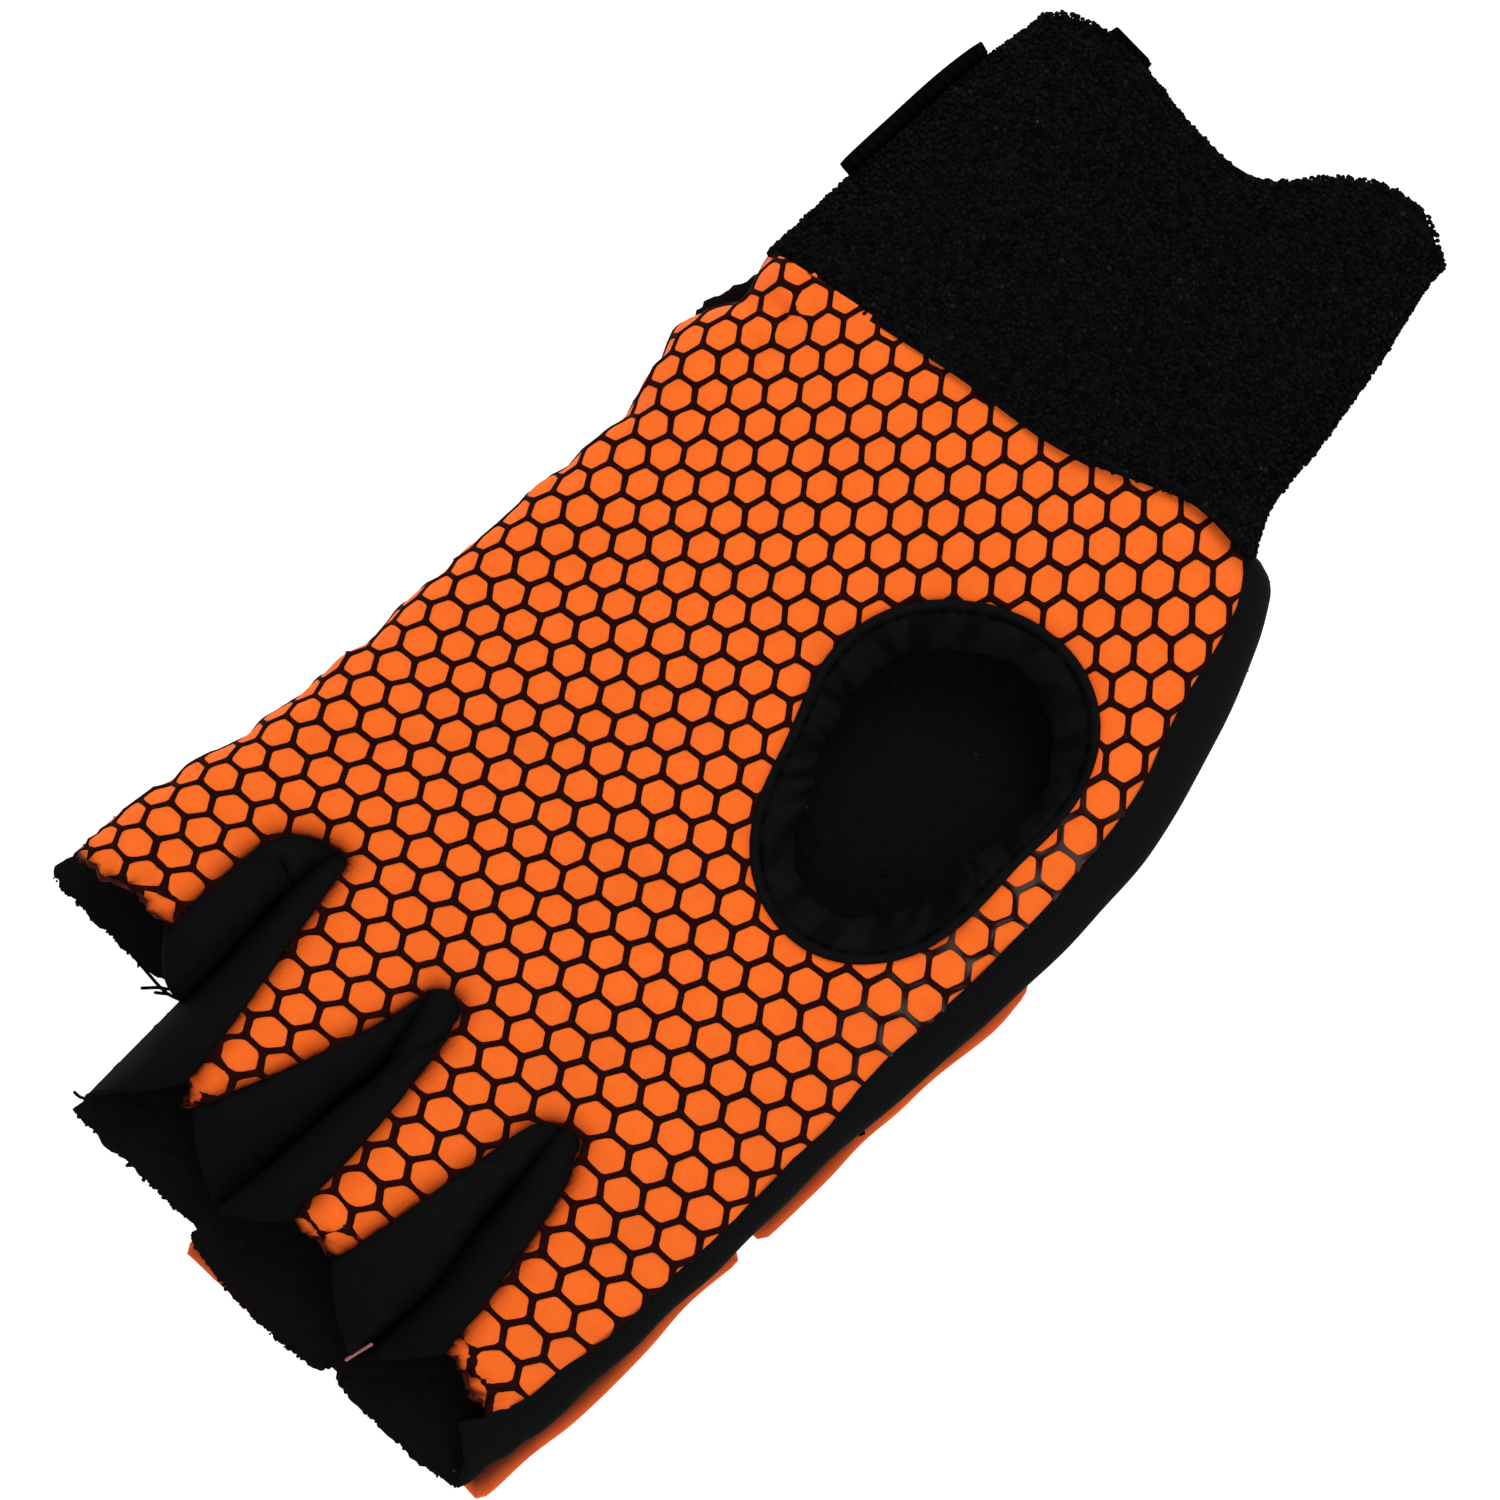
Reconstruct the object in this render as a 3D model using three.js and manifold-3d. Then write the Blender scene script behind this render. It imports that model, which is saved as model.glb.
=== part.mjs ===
// A fingerless field hockey glove for the left hand, lying on its padded back with the palm up.
// Millimetres. +X is the little finger's side, +Y runs to the fingertips and +Z is up, out of the palm.
// The origin is on the surface that the glove lies on, under the middle of its outline.
import * as THREE from 'three'
import { mergeVertices } from 'three/addons/utils/BufferGeometryUtils.js'
import Module from 'manifold-3d'

// Walls and the gap that sewn pieces keep
const SEAM_GAP = 0.35
const PALM_THICKNESS = 1.2
const GUSSET_THICKNESS = 1.5
const FOURCHETTE_THICKNESS = 1.0
const BACK_THICKNESS = 2.4
const TERRY_THICKNESS = 3.2
const FACING_THICKNESS = 1.2
const STRAP_THICKNESS = 1.8

// Heights above the surface that the glove lies on
const PAD_HEIGHT = 8
const BACK_MIDDLE = PAD_HEIGHT + SEAM_GAP + BACK_THICKNESS / 2
const BACK_TOP = BACK_MIDDLE + BACK_THICKNESS / 2
const WRIST_DROP = 4.6

// The body of the glove, a row for each section across it. seam is the palm's edge on the index
// side and side the gusset's outermost line, crown the palm's height and seamHeight its height at
// the gusset's seam.
const SECTIONS = [
  { y: -66, seam: -33.0, side: -36.2, crown: 24.6, seamHeight: 17.0 },
  { y: -55, seam: -38.1, side: -43.0, crown: 24.8, seamHeight: 17.5 },
  { y: -45, seam: -40.3, side: -47.1, crown: 24.8, seamHeight: 18.5 },
  { y: -35, seam: -43.2, side: -49.9, crown: 24.8, seamHeight: 19.5 },
  { y: -24, seam: -46.4, side: -52.8, crown: 25.2, seamHeight: 20.0 },
  { y: -14, seam: -47.5, side: -53.6, crown: 25.5, seamHeight: 20.0 },
  { y: -2, seam: -48.0, side: -53.8, crown: 25.8, seamHeight: 20.0 },
  { y: 8, seam: -47.7, side: -53.1, crown: 25.9, seamHeight: 19.8 },
  { y: 20, seam: -47.2, side: -52.9, crown: 26.0, seamHeight: 19.5 },
  { y: 38, seam: -47.6, side: -51.4, crown: 25.8, seamHeight: 19.0 },
  { y: 54, seam: -48.0, side: -51.1, crown: 25.4, seamHeight: 18.5 },
  { y: 72, seam: -47.0, side: -50.6, crown: 24.4, seamHeight: 18.0 },
  { y: 84, seam: -45.8, side: -50.2, crown: 23.6, seamHeight: 17.5 },
  { y: 92, seam: -45.2, side: -49.7, crown: 23.1, seamHeight: 17.2 },
  { y: 100, seam: -42.4, side: -48.3, crown: 22.6, seamHeight: 17.0 },
  { y: 108, seam: -40.0, side: -46.8, crown: 22.2, seamHeight: 16.8 },
]

// The other long side, where the palm turns down and meets the back. It bulges by the cuff.
const OUTER_SIDE = [
  { y: -66, palm: 45.0, back: 44.0 },
  { y: -45, palm: 44.9, back: 44.2 },
  { y: -41, palm: 43.8, back: 44.7 },
  { y: -38, palm: 43.2, back: 45.8 },
  { y: -34, palm: 45.3, back: 46.5 },
  { y: -30, palm: 46.4, back: 46.0 },
  { y: -26, palm: 46.0, back: 45.2 },
  { y: -21, palm: 44.6, back: 43.8 },
  { y: -15, palm: 43.3, back: 42.6 },
  { y: -8, palm: 43.8, back: 43.0 },
  { y: 8, palm: 45.1, back: 44.2 },
  { y: 20, palm: 46.1, back: 45.0 },
  { y: 38, palm: 46.9, back: 45.8 },
  { y: 54, palm: 49.2, back: 48.4 },
  { y: 62, palm: 51.2, back: 50.6 },
  { y: 70, palm: 53.2, back: 52.6 },
  { y: 84, palm: 54.3, back: 54.6 },
  { y: 108, palm: 54.4, back: 54.8 },
]

// The seam between the palm and the terry cuff, and the cuff's wavy end, across the wrist
const CUFF_SEAM = [
  { x: 48, y: -44.4 },
  { x: 31, y: -47.9 },
  { x: 15, y: -51.3 },
  { x: -4, y: -54.4 },
  { x: -24, y: -62.0 },
  { x: -38, y: -63.0 },
]
const CUFF_END = [
  { x: 50, y: -97.5 },
  { x: 35, y: -100.6 },
  { x: 25, y: -100.9 },
  { x: 15, y: -99.9 },
  { x: 4, y: -101.2 },
  { x: -7, y: -110.9 },
  { x: -15, y: -113.2 },
  { x: -21, y: -112.8 },
  { x: -30, y: -108.0 },
]

// The cuff, a row for each section along it: its edges on the thumb's and the little finger's
// side, and its lowest and highest points
const CUFF_SECTIONS = [
  { y: -118, left: -23.5, right: 40.4, low: 2.3, high: 25.0 },
  { y: -108, left: -24.1, right: 40.6, low: 2.2, high: 25.6 },
  { y: -97, left: -26.6, right: 41.7, low: 2.15, high: 26.4 },
  { y: -82, left: -29.2, right: 44.0, low: 2.15, high: 26.9 },
  { y: -70, left: -30.6, right: 44.7, low: 2.15, high: 26.9 },
  { y: -60, left: -35.6, right: 45.1, low: 2.4, high: 26.8 },
  { y: -42, left: -37.0, right: 45.8, low: 3.2, high: 26.6 },
]
const CUFF_SQUARENESS = 3

// The four finger stalls. Each front runs from its two roots to its tip, and a bow under 1 makes
// that side leave its root steeply. Each back is wider and longer than its front. The tips and
// corners of a back or a pad are its length and its corner's radius on the left and on the right.
const FINGERS = [
  {
    name: 'index',
    left: { rootX: -60, rootY: 62, tipX: -47, tipY: 98.4, bow: 1 },
    right: { rootX: -25.6, rootY: 63, tipX: -32.6, tipY: 94.2, bow: 0.55 },
    back: { left: -46.6, right: -23.8, tips: [108.8, 110.3], corners: [1.2, 1.6] },
    pad: { left: -50.3, right: -26.0, tips: [107.8, 107.8], corners: [0.6, 2.4] },
  },
  {
    name: 'middle',
    left: { rootX: -17.6, rootY: 65.5, tipX: -11.6, tipY: 97.2, bow: 1 },
    right: { rootX: -0.6, rootY: 62, tipX: -3.9, tipY: 97.4, bow: 0.5 },
    back: { left: -23.0, right: 4.6, tips: [110.4, 111.3], corners: [3.5, 1] },
    pad: { left: -20.6, right: 4.3, tips: [111.3, 112.5], corners: [5, 0.8] },
  },
  {
    name: 'ring',
    left: { rootX: 6.0, rootY: 62.5, tipX: 17.4, tipY: 96.0, bow: 1.25 },
    right: { rootX: 25.6, rootY: 57.5, tipX: 20.0, tipY: 93.4, bow: 1 },
    back: { left: 5.8, right: 29.2, tips: [108.6, 109.2], corners: [1.6, 0.8] },
    pad: { left: 7.4, right: 27.6, tips: [105.6, 105.6], corners: [2.4, 2.4] },
  },
  {
    name: 'pinky',
    left: { rootX: 36.6, rootY: 62.5, tipX: 38.0, tipY: 80.4, bow: 0.5 },
    right: { rootX: 60, rootY: 62, tipX: 60, tipY: 83.2, bow: 1 },
    back: { left: 30.2, right: 54.9, tips: [87.8, 87.9], corners: [3.6, 1.6] },
    pad: { left: 31.8, right: 52.0, startRight: 46.6, tips: [85.0, 85.0], corners: [2.4, 2.4] },
  },
]
const CROTCH_DEPTH = 3.4
const CROTCH_SPREAD = 4 / 3
const SLIT_START = 66

// The folded strips between the stalls: valleyX is where the fold starts and tipX where it ends
const FOURCHETTES = [
  { name: 'fourchette_3', fold: { x: -19.6, tipX: -23.4, tipY: 105.6 } },
  { name: 'fourchette_2', fold: { x: 2.9, tipX: 5.2, tipY: 104.6 } },
  { name: 'fourchette_1', fold: { x: 29.9, tipX: 29.6, tipY: 87.6 } },
]
const FOLD_HEIGHT = BACK_TOP + SEAM_GAP + FOURCHETTE_THICKNESS / 2
const FOLD_REACHED = 0.3
const STALL_DIP = 2.2
const STALL_DIP_WIDTH = 7

// How the palm turns down round its two edges
const ROLL_RADIUS = 6.5
const ROLL_TURN = THREE.MathUtils.degToRad(150)
const ROLL_LOW = BACK_TOP + 1.1
const SEAM_SLOPE_WIDTH = 24

// The thumb hole, a rounded lozenge made of a circle and waves round it, each with a number of
// crests, a size and the degrees where it starts, and the hole's gathered binding
const HOLE = {
  x: -21.5,
  y: -8.0,
  radius: 23.8,
  waves: [
    { crests: 1, size: 0.8, start: 136 },
    { crests: 2, size: 4.35, start: 167 },
    { crests: 3, size: 1.2, start: 38 },
    { crests: 4, size: 0.3, start: 78 },
  ],
}
const BINDING = { width: 6.8, welt: 1.5, drop: 4.2, gathers: 26, gatherDepth: 0.35 }

// The back pads, with their shared edge on the index side, and the closing strap that crosses the
// cuff's back
const HAND_PAD = { right: 38.5, rightAtTop: 44.5, bottomY: -0.6, topY: 54.0, corner: 4 }
const PAD_SIDE = [
  { y: -1, x: -54.5 },
  { y: 10, x: -54.8 },
  { y: 27, x: -53.3 },
  { y: 40, x: -53.2 },
  { y: 54, x: -53.1 },
  { y: 64, x: -52.0 },
  { y: 84, x: -52.4 },
  { y: 98, x: -51.4 },
  { y: 108, x: -50.3 },
]
const FINGER_PAD_START = 56.4
const PAD_ROUNDING = 1.6
const STRAP = { fromY: -87.6, toY: -61.8, start: -0.66, end: 0.18 }
const FACING = { start: -0.8, end: -0.2, tabLeft: 26.4, tabRight: 33.6, tabY: -103.4, reach: 1.2 }

// Heights between which the upright cutters reach
const CUTTER_LOW = -40
const CUTTER_HIGH = 80

const MATERIALS = {
  printed_palm: { color: 0xfc7024, roughness: 0.6 },
  black_knit: { color: 0x141212, roughness: 0.85 },
  fleece: { color: 0x121011, roughness: 0.95 },
  terry: { color: 0x0c0c0c, roughness: 1.0 },
  orange_pad: { color: 0xf26a22, roughness: 0.65 },
  webbing: { color: 0x101010, roughness: 0.7 },
}

const wasm = await Module()
wasm.setup()
const { lerp, smoothstep } = THREE.MathUtils

// Reads one column of a table at a place, along a curve that passes smoothly through its rows
function readTable(table, place, at, column) {
  const rows = [...table].sort((a, b) => a[place] - b[place])
  const last = rows.length - 1
  if (at <= rows[0][place]) return rows[0][column]
  if (at >= rows[last][place]) return rows[last][column]
  const i = rows.findIndex((row) => row[place] > at) - 1
  const slope = (k) => {
    const before = rows[Math.max(k - 1, 0)]
    const after = rows[Math.min(k + 1, last)]
    return (after[column] - before[column]) / (after[place] - before[place])
  }
  const step = rows[i + 1][place] - rows[i][place]
  const t = (at - rows[i][place]) / step
  const rise = rows[i + 1][column] - rows[i][column]
  const a = slope(i) * step - rise
  const b = rise - slope(i + 1) * step
  return rows[i][column] + rise * t + t * (1 - t) * (a * (1 - t) + b * t)
}

const section = (y, column) => readTable(SECTIONS, 'y', y, column)
const outerSide = (y, column) => readTable(OUTER_SIDE, 'y', y, column)
const cuffSeamY = (x) => readTable(CUFF_SEAM, 'x', x, 'y')
const cuffEndY = (x) => readTable(CUFF_END, 'x', x, 'y')
const padSideX = (y) => readTable(PAD_SIDE, 'y', y, 'x')

// A point on one long side of a finger's front, from its root at 0 to its tip at 1
function fingerSide(side, t) {
  return {
    x: lerp(side.rootX, side.tipX, t ** side.bow),
    y: lerp(side.rootY, side.tipY, t),
  }
}

// The palm's middle surface, which dips towards the gaps between the stalls and the gusset's seam
function palmHeight(x, y) {
  const crown = section(y, 'crown')
  const fromSeam = THREE.MathUtils.clamp((x - section(y, 'seam')) / SEAM_SLOPE_WIDTH, 0, 1)
  const seamDrop = (crown - section(y, 'seamHeight')) * (1 - fromSeam) ** 2
  const amongStalls = smoothstep(y, 52, 74)
  let dip = 0
  for (const { fold } of FOURCHETTES) {
    dip += STALL_DIP * Math.exp(-(((x - fold.x) / STALL_DIP_WIDTH) ** 2))
  }
  return crown - seamDrop - dip * amongStalls
}

// The back's middle surface, which lies on the pads and comes down to the cuff behind them
function backHeight(y) {
  return lerp(WRIST_DROP, BACK_MIDDLE, smoothstep(y, -58, -4))
}

// Makes a closed wall of even thickness about a middle surface, stepped in columns and rows.
// A ring's last column meets its first.
function makeWall({ columns, rows, thickness, surface, ring = false }) {
  const columnCount = ring ? columns : columns + 1
  const small = 1e-3
  const outer = []
  const inner = []
  for (let j = 0; j <= rows; j += 1) {
    for (let i = 0; i < columnCount; i += 1) {
      const u = i / columns
      const v = j / rows
      const alongU = surface(ring ? u + small : Math.min(u + small, 1), v)
      alongU.sub(surface(ring ? u - small : Math.max(u - small, 0), v))
      const alongV = surface(u, Math.min(v + small, 1)).sub(surface(u, Math.max(v - small, 0)))
      const normal = alongU.cross(alongV).normalize().multiplyScalar(thickness / 2)
      outer.push(surface(u, v).add(normal))
      inner.push(surface(u, v).sub(normal))
    }
  }
  const points = [...outer, ...inner]
  const at = (i, j) => j * columnCount + (i % columnCount)
  const under = (i, j) => at(i, j) + outer.length
  const faces = []
  const quad = (a, b, c, d) => faces.push(a, b, c, a, c, d)
  for (let j = 0; j < rows; j += 1) {
    for (let i = 0; i < columns; i += 1) {
      quad(at(i, j), at(i + 1, j), at(i + 1, j + 1), at(i, j + 1))
      quad(under(i, j), under(i, j + 1), under(i + 1, j + 1), under(i + 1, j))
    }
  }
  for (let i = 0; i < columns; i += 1) {
    quad(at(i + 1, 0), at(i, 0), under(i, 0), under(i + 1, 0))
    quad(at(i, rows), at(i + 1, rows), under(i + 1, rows), under(i, rows))
  }
  if (!ring) {
    for (let j = 0; j < rows; j += 1) {
      quad(at(0, j), at(0, j + 1), under(0, j + 1), under(0, j))
      quad(at(columns, j + 1), at(columns, j), under(columns, j), under(columns, j + 1))
    }
  }
  const geometry = new THREE.BufferGeometry()
  const flat = points.flatMap((p) => [p.x, p.y, p.z])
  geometry.setAttribute('position', new THREE.Float32BufferAttribute(flat, 3))
  geometry.setIndex(faces)
  return geometry
}

// Turns a closed geometry into a solid that can be joined and cut
function toSolid(geometry) {
  geometry.deleteAttribute('normal')
  geometry.deleteAttribute('uv')
  const merged = mergeVertices(geometry)
  const vertProperties = new Float32Array(merged.attributes.position.array)
  const triVerts = new Uint32Array(merged.index.array)
  return new wasm.Manifold(new wasm.Mesh({ numProp: 3, vertProperties, triVerts }))
}

function toGeometry(solid) {
  const { vertProperties, triVerts } = solid.getMesh()
  const geometry = new THREE.BufferGeometry()
  geometry.setAttribute('position', new THREE.Float32BufferAttribute(vertProperties, 3))
  geometry.setIndex([...triVerts])
  geometry.computeVertexNormals()
  return geometry
}

// An upright prism on an outline, to cut a wall along a line seen from above
function uprightCutter(outline, low = CUTTER_LOW, high = CUTTER_HIGH) {
  const shape = new THREE.Shape(outline.map((p) => new THREE.Vector2(p.x, p.y)))
  const geometry = new THREE.ExtrudeGeometry(shape, { depth: high - low, bevelEnabled: false })
  geometry.translate(0, 0, low)
  return toSolid(geometry)
}

// Points along a line from one x to another, its y read from a function
function stretch(fromX, toX, steps, readY) {
  return Array.from({ length: steps + 1 }, (_, i) => {
    const x = lerp(fromX, toX, i / steps)
    return { x, y: readY(x) }
  })
}

// The curve of the palm's edge at the bottom of the gap between two fingers
function crotchCurve(finger, next) {
  const down = CROTCH_DEPTH * CROTCH_SPREAD
  const { right } = finger
  const { left } = next
  return new THREE.CubicBezierCurve(
    new THREE.Vector2(right.rootX, right.rootY),
    new THREE.Vector2(right.rootX, right.rootY - down),
    new THREE.Vector2(left.rootX, left.rootY - down),
    new THREE.Vector2(left.rootX, left.rootY),
  )
}

// The edge of the thumb hole, moved inwards by a distance, at a turn from 0 to 1
function holeEdge(turn, inwards) {
  const angle = turn * 2 * Math.PI
  let radius = HOLE.radius - inwards
  for (const { crests, size, start } of HOLE.waves) {
    radius += size * Math.cos(crests * angle + THREE.MathUtils.degToRad(start))
  }
  return { x: HOLE.x + radius * Math.cos(angle), y: HOLE.y + radius * Math.sin(angle) }
}

// The palm: one sheet with the four finger fronts, which turns down round the little finger's side
function palmSurface(u, v) {
  const flatShare = 0.78
  const y = lerp(-65, 99.5, v)
  const edge = outerSide(y, 'palm') - PALM_THICKNESS / 2
  const rollStart = edge - ROLL_RADIUS
  if (u <= flatShare) {
    const x = lerp(section(y, 'seam'), rollStart, u / flatShare)
    return new THREE.Vector3(x, y, palmHeight(x, y))
  }
  const turn = ((u - flatShare) / (1 - flatShare)) * ROLL_TURN
  const top = palmHeight(rollStart, y)
  const halfHeight = (top - ROLL_LOW) / 2
  return new THREE.Vector3(
    rollStart + ROLL_RADIUS * Math.sin(turn),
    y,
    top - halfHeight * (1 - Math.cos(turn)),
  )
}

function makePalm() {
  const sideSteps = 6
  const sheet = makeWall({ columns: 22, rows: 30, thickness: PALM_THICKNESS, surface: palmSurface })
  const outline = stretch(60, -60, 16, cuffSeamY)
  FINGERS.forEach((finger, i) => {
    for (let k = 0; k <= sideSteps; k += 1) outline.push(fingerSide(finger.left, k / sideSteps))
    for (let k = sideSteps; k >= 0; k -= 1) outline.push(fingerSide(finger.right, k / sideSteps))
    const next = FINGERS[i + 1]
    if (next) outline.push(...crotchCurve(finger, next).getPoints(sideSteps).slice(1, -1))
  })
  const holeSteps = 56
  const hole = Array.from({ length: holeSteps }, (_, i) => holeEdge(i / holeSteps, 0))
  const cut = toSolid(sheet).intersect(uprightCutter(outline)).subtract(uprightCutter(hole))
  return toGeometry(cut)
}

// The binding: a raised welt along the hole's edge, and a gathered band that slopes down inside it.
// Its section is a closed loop of points, each a distance inwards and a height over the palm.
function makeBinding() {
  const { width, welt, drop, gathers, gatherDepth } = BINDING
  const loop = [
    { inwards: SEAM_GAP, height: -0.9, gathered: 0 },
    { inwards: SEAM_GAP, height: 0.9, gathered: 0 },
    { inwards: welt * 0.6, height: 1.5, gathered: 0 },
    { inwards: welt, height: 0.9, gathered: 0 },
    { inwards: width * 0.55, height: 0.3 - drop * 0.35, gathered: 1 },
    { inwards: width, height: -drop, gathered: 1 },
    { inwards: width * 0.85, height: -drop - 1.1, gathered: 1 },
    { inwards: width * 0.4, height: -drop * 0.35 - 1.5, gathered: 0.5 },
  ]
  const steps = gathers * 3
  const surfacePoints = []
  for (let i = 0; i < steps; i += 1) {
    const turn = i / steps
    const rim = holeEdge(turn, 0)
    const rimHeight = palmHeight(rim.x, rim.y)
    const ripple = Math.cos(turn * gathers * 2 * Math.PI) + 0.4 * Math.cos(turn * 7 * 2 * Math.PI)
    for (const corner of loop) {
      const place = holeEdge(turn, corner.inwards)
      const lift = gatherDepth * corner.gathered * ripple
      surfacePoints.push(place.x, place.y, rimHeight + corner.height + lift)
    }
  }
  const faces = []
  for (let i = 0; i < steps; i += 1) {
    for (let k = 0; k < loop.length; k += 1) {
      const a = i * loop.length + k
      const b = i * loop.length + ((k + 1) % loop.length)
      const c = ((i + 1) % steps) * loop.length + ((k + 1) % loop.length)
      const d = ((i + 1) % steps) * loop.length + k
      faces.push(a, c, b, a, d, c)
    }
  }
  const geometry = new THREE.BufferGeometry()
  geometry.setAttribute('position', new THREE.Float32BufferAttribute(surfacePoints, 3))
  geometry.setIndex(faces)
  geometry.computeVertexNormals()
  return geometry
}

// A fourchette: a strip folded into a valley, sewn to the facing sides of two neighbouring fingers.
// It starts level with the palm at the crotch and ends in a slant from the fronts' tips to the backs'.
function makeFourchette(finger, next, fold) {
  const inset = SEAM_GAP + FOURCHETTE_THICKNESS / 2
  const crotch = crotchCurve(finger, next)
  const surface = (u, v) => {
    const across = 2 * u - 1
    const side = across < 0 ? fingerSide(finger.right, v) : fingerSide(next.left, v)
    side.x += across < 0 ? inset : -inset
    const start = crotch.getPoint(0.5)
    const foldX = lerp(fold.x, fold.tipX, v)
    const foldY = lerp(start.y + inset, fold.tipY, v)
    const away = Math.abs(across)
    const edge = crotch.getPoint(u)
    const along = crotch.getTangent(u)
    const opened = smoothstep(v, 0, 0.16)
    const x = lerp(edge.x - along.y * inset, lerp(foldX, side.x, away), opened)
    const y = lerp(edge.y + along.x * inset, lerp(foldY, side.y, away ** 1.3), opened)
    const edgeHeight = palmHeight(side.x, side.y)
    const depth = (edgeHeight - FOLD_HEIGHT) * smoothstep(v, 0, FOLD_REACHED)
    return new THREE.Vector3(x, y, edgeHeight - depth * (1 - away ** 1.4))
  }
  return makeWall({ columns: 12, rows: 12, thickness: FOURCHETTE_THICKNESS, surface })
}

// The gusset along the thumb's side, which bulges past the palm's seam and turns in to the back
function makeGusset() {
  const firstTurn = THREE.MathUtils.degToRad(24)
  const lastTurn = THREE.MathUtils.degToRad(152)
  const half = GUSSET_THICKNESS / 2
  const surface = (u, v) => {
    const turn = lerp(firstTurn, lastTurn, u)
    const y = lerp(-62.4, lerp(98.4, 107.6, u), v)
    const top = palmHeight(section(y, 'seam'), y)
    const low = Math.min(backHeight(y) + BACK_THICKNESS / 2, BACK_TOP) + SEAM_GAP + half * 0.6
    const middle = (top + low) / 2
    const seam = section(y, 'seam') - SEAM_GAP - 0.2
    const side = Math.min(section(y, 'side') + half, seam - 1)
    const out = (Math.sin(turn) - Math.sin(firstTurn)) / (1 - Math.sin(firstTurn))
    const reach = turn < Math.PI / 2 ? Math.cos(turn) / Math.cos(firstTurn) : Math.cos(turn) / -Math.cos(lastTurn)
    return new THREE.Vector3(lerp(seam, side, out), y, middle + (top - middle) * reach)
  }
  return makeWall({ columns: 6, rows: 32, thickness: GUSSET_THICKNESS, surface: (u, v) => surface(1 - u, v) })
}

// The fleece-lined back, with its four finger backs parted by slits
function makeBack() {
  const surface = (u, v) => {
    const y = lerp(-66, 113, v)
    return new THREE.Vector3(lerp(-58, 58, u), y, backHeight(y))
  }
  const sheet = makeWall({ columns: 2, rows: 22, thickness: BACK_THICKNESS, surface })
  const outline = stretch(outerSide(-45, 'back'), section(-62.6, 'side') + 1, 12, cuffSeamY)
  for (let y = -58; y <= 96; y += 7) outline.push({ x: section(y, 'side') + 0.6, y })
  for (const { name, back } of FINGERS) {
    const { left, right, tips, corners } = back
    if (name !== 'index') outline.push({ x: left, y: SLIT_START })
    outline.push(...roundCorner(left + corners[0], tips[0] - corners[0], corners[0], 90, 2).reverse())
    outline.push(...roundCorner(right - corners[1], tips[1] - corners[1], corners[1], 0, 2).reverse())
    if (name !== 'pinky') outline.push({ x: right, y: SLIT_START })
  }
  for (let y = 78; y >= -42; y -= 5) outline.push({ x: outerSide(y, 'back'), y })
  return toGeometry(toSolid(sheet).intersect(uprightCutter(outline)))
}

// A soft-edged foam pad on an outline that bulges everywhere, flat below and above
function makePad(outline) {
  const box = new THREE.Box2().setFromPoints(outline.map((p) => new THREE.Vector2(p.x, p.y)))
  const centre = box.getCenter(new THREE.Vector2())
  const half = box.getSize(new THREE.Vector2()).multiplyScalar(0.5)
  const levels = []
  for (const turn of [0, 30, 60, 90, 90, 60, 30, 0]) {
    const angle = THREE.MathUtils.degToRad(turn)
    const rise = PAD_ROUNDING * (1 - Math.cos(angle))
    const above = levels.length >= 4
    levels.push({
      inset: PAD_ROUNDING * (1 - Math.sin(angle)),
      z: above ? PAD_HEIGHT - rise : rise,
    })
  }
  const points = levels.flatMap(({ inset, z }) => outline.flatMap((p) => [
    centre.x + (p.x - centre.x) * (1 - inset / half.x),
    centre.y + (p.y - centre.y) * (1 - inset / half.y),
    z,
  ]))
  const count = outline.length
  const bottom = levels.length * count
  const top = bottom + 1
  points.push(centre.x, centre.y, 0, centre.x, centre.y, PAD_HEIGHT)
  const faces = []
  for (let i = 0; i < count; i += 1) {
    const next = (i + 1) % count
    faces.push(bottom, next, i)
    for (let level = 0; level + 1 < levels.length; level += 1) {
      const low = level * count
      const high = low + count
      faces.push(low + i, low + next, high + next, low + i, high + next, high + i)
    }
    faces.push(top, bottom - count + i, bottom - count + next)
  }
  const geometry = new THREE.BufferGeometry()
  geometry.setAttribute('position', new THREE.Float32BufferAttribute(points, 3))
  geometry.setIndex(faces)
  geometry.computeVertexNormals()
  return geometry
}

// The points of a round corner about a centre, from one direction to the next
function roundCorner(x, y, radius, fromDegrees, steps = 3) {
  return Array.from({ length: steps + 1 }, (_, i) => {
    const angle = THREE.MathUtils.degToRad(fromDegrees + (90 * i) / steps)
    return { x: x + radius * Math.cos(angle), y: y + radius * Math.sin(angle) }
  })
}

// The pads' edge on the index side, as points from one place along the hand down to another
function padSide(fromY, toY, steps) {
  return Array.from({ length: steps + 1 }, (_, i) => {
    const y = lerp(fromY, toY, i / steps)
    return { x: padSideX(y), y }
  })
}

function handPadOutline() {
  const { right, rightAtTop, bottomY, topY, corner } = HAND_PAD
  const cornerY = bottomY + corner
  return [
    ...roundCorner(right - corner, cornerY, corner, -90),
    ...roundCorner(rightAtTop - corner, topY - corner, corner, 0),
    ...padSide(topY, cornerY, 5),
    ...roundCorner(padSideX(cornerY) + corner, cornerY, corner, 180).slice(1),
  ]
}

function fingerPadOutline({ name, pad }) {
  const corner = 2.4
  const { left, right, tips, corners } = pad
  const cornerY = FINGER_PAD_START + corner
  const side = name === 'index' ? padSide(100, cornerY, 4) : [{ x: left, y: cornerY }]
  const startLeft = side.at(-1).x
  return [
    ...roundCorner((pad.startRight ?? right) - corner, cornerY, corner, -90),
    ...roundCorner(right - corners[1], tips[1] - corners[1], corners[1], 0),
    ...roundCorner(left + corners[0], tips[0] - corners[0], corners[0], 90, 2),
    ...side,
    { x: startLeft + corner, y: FINGER_PAD_START },
  ]
}

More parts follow.
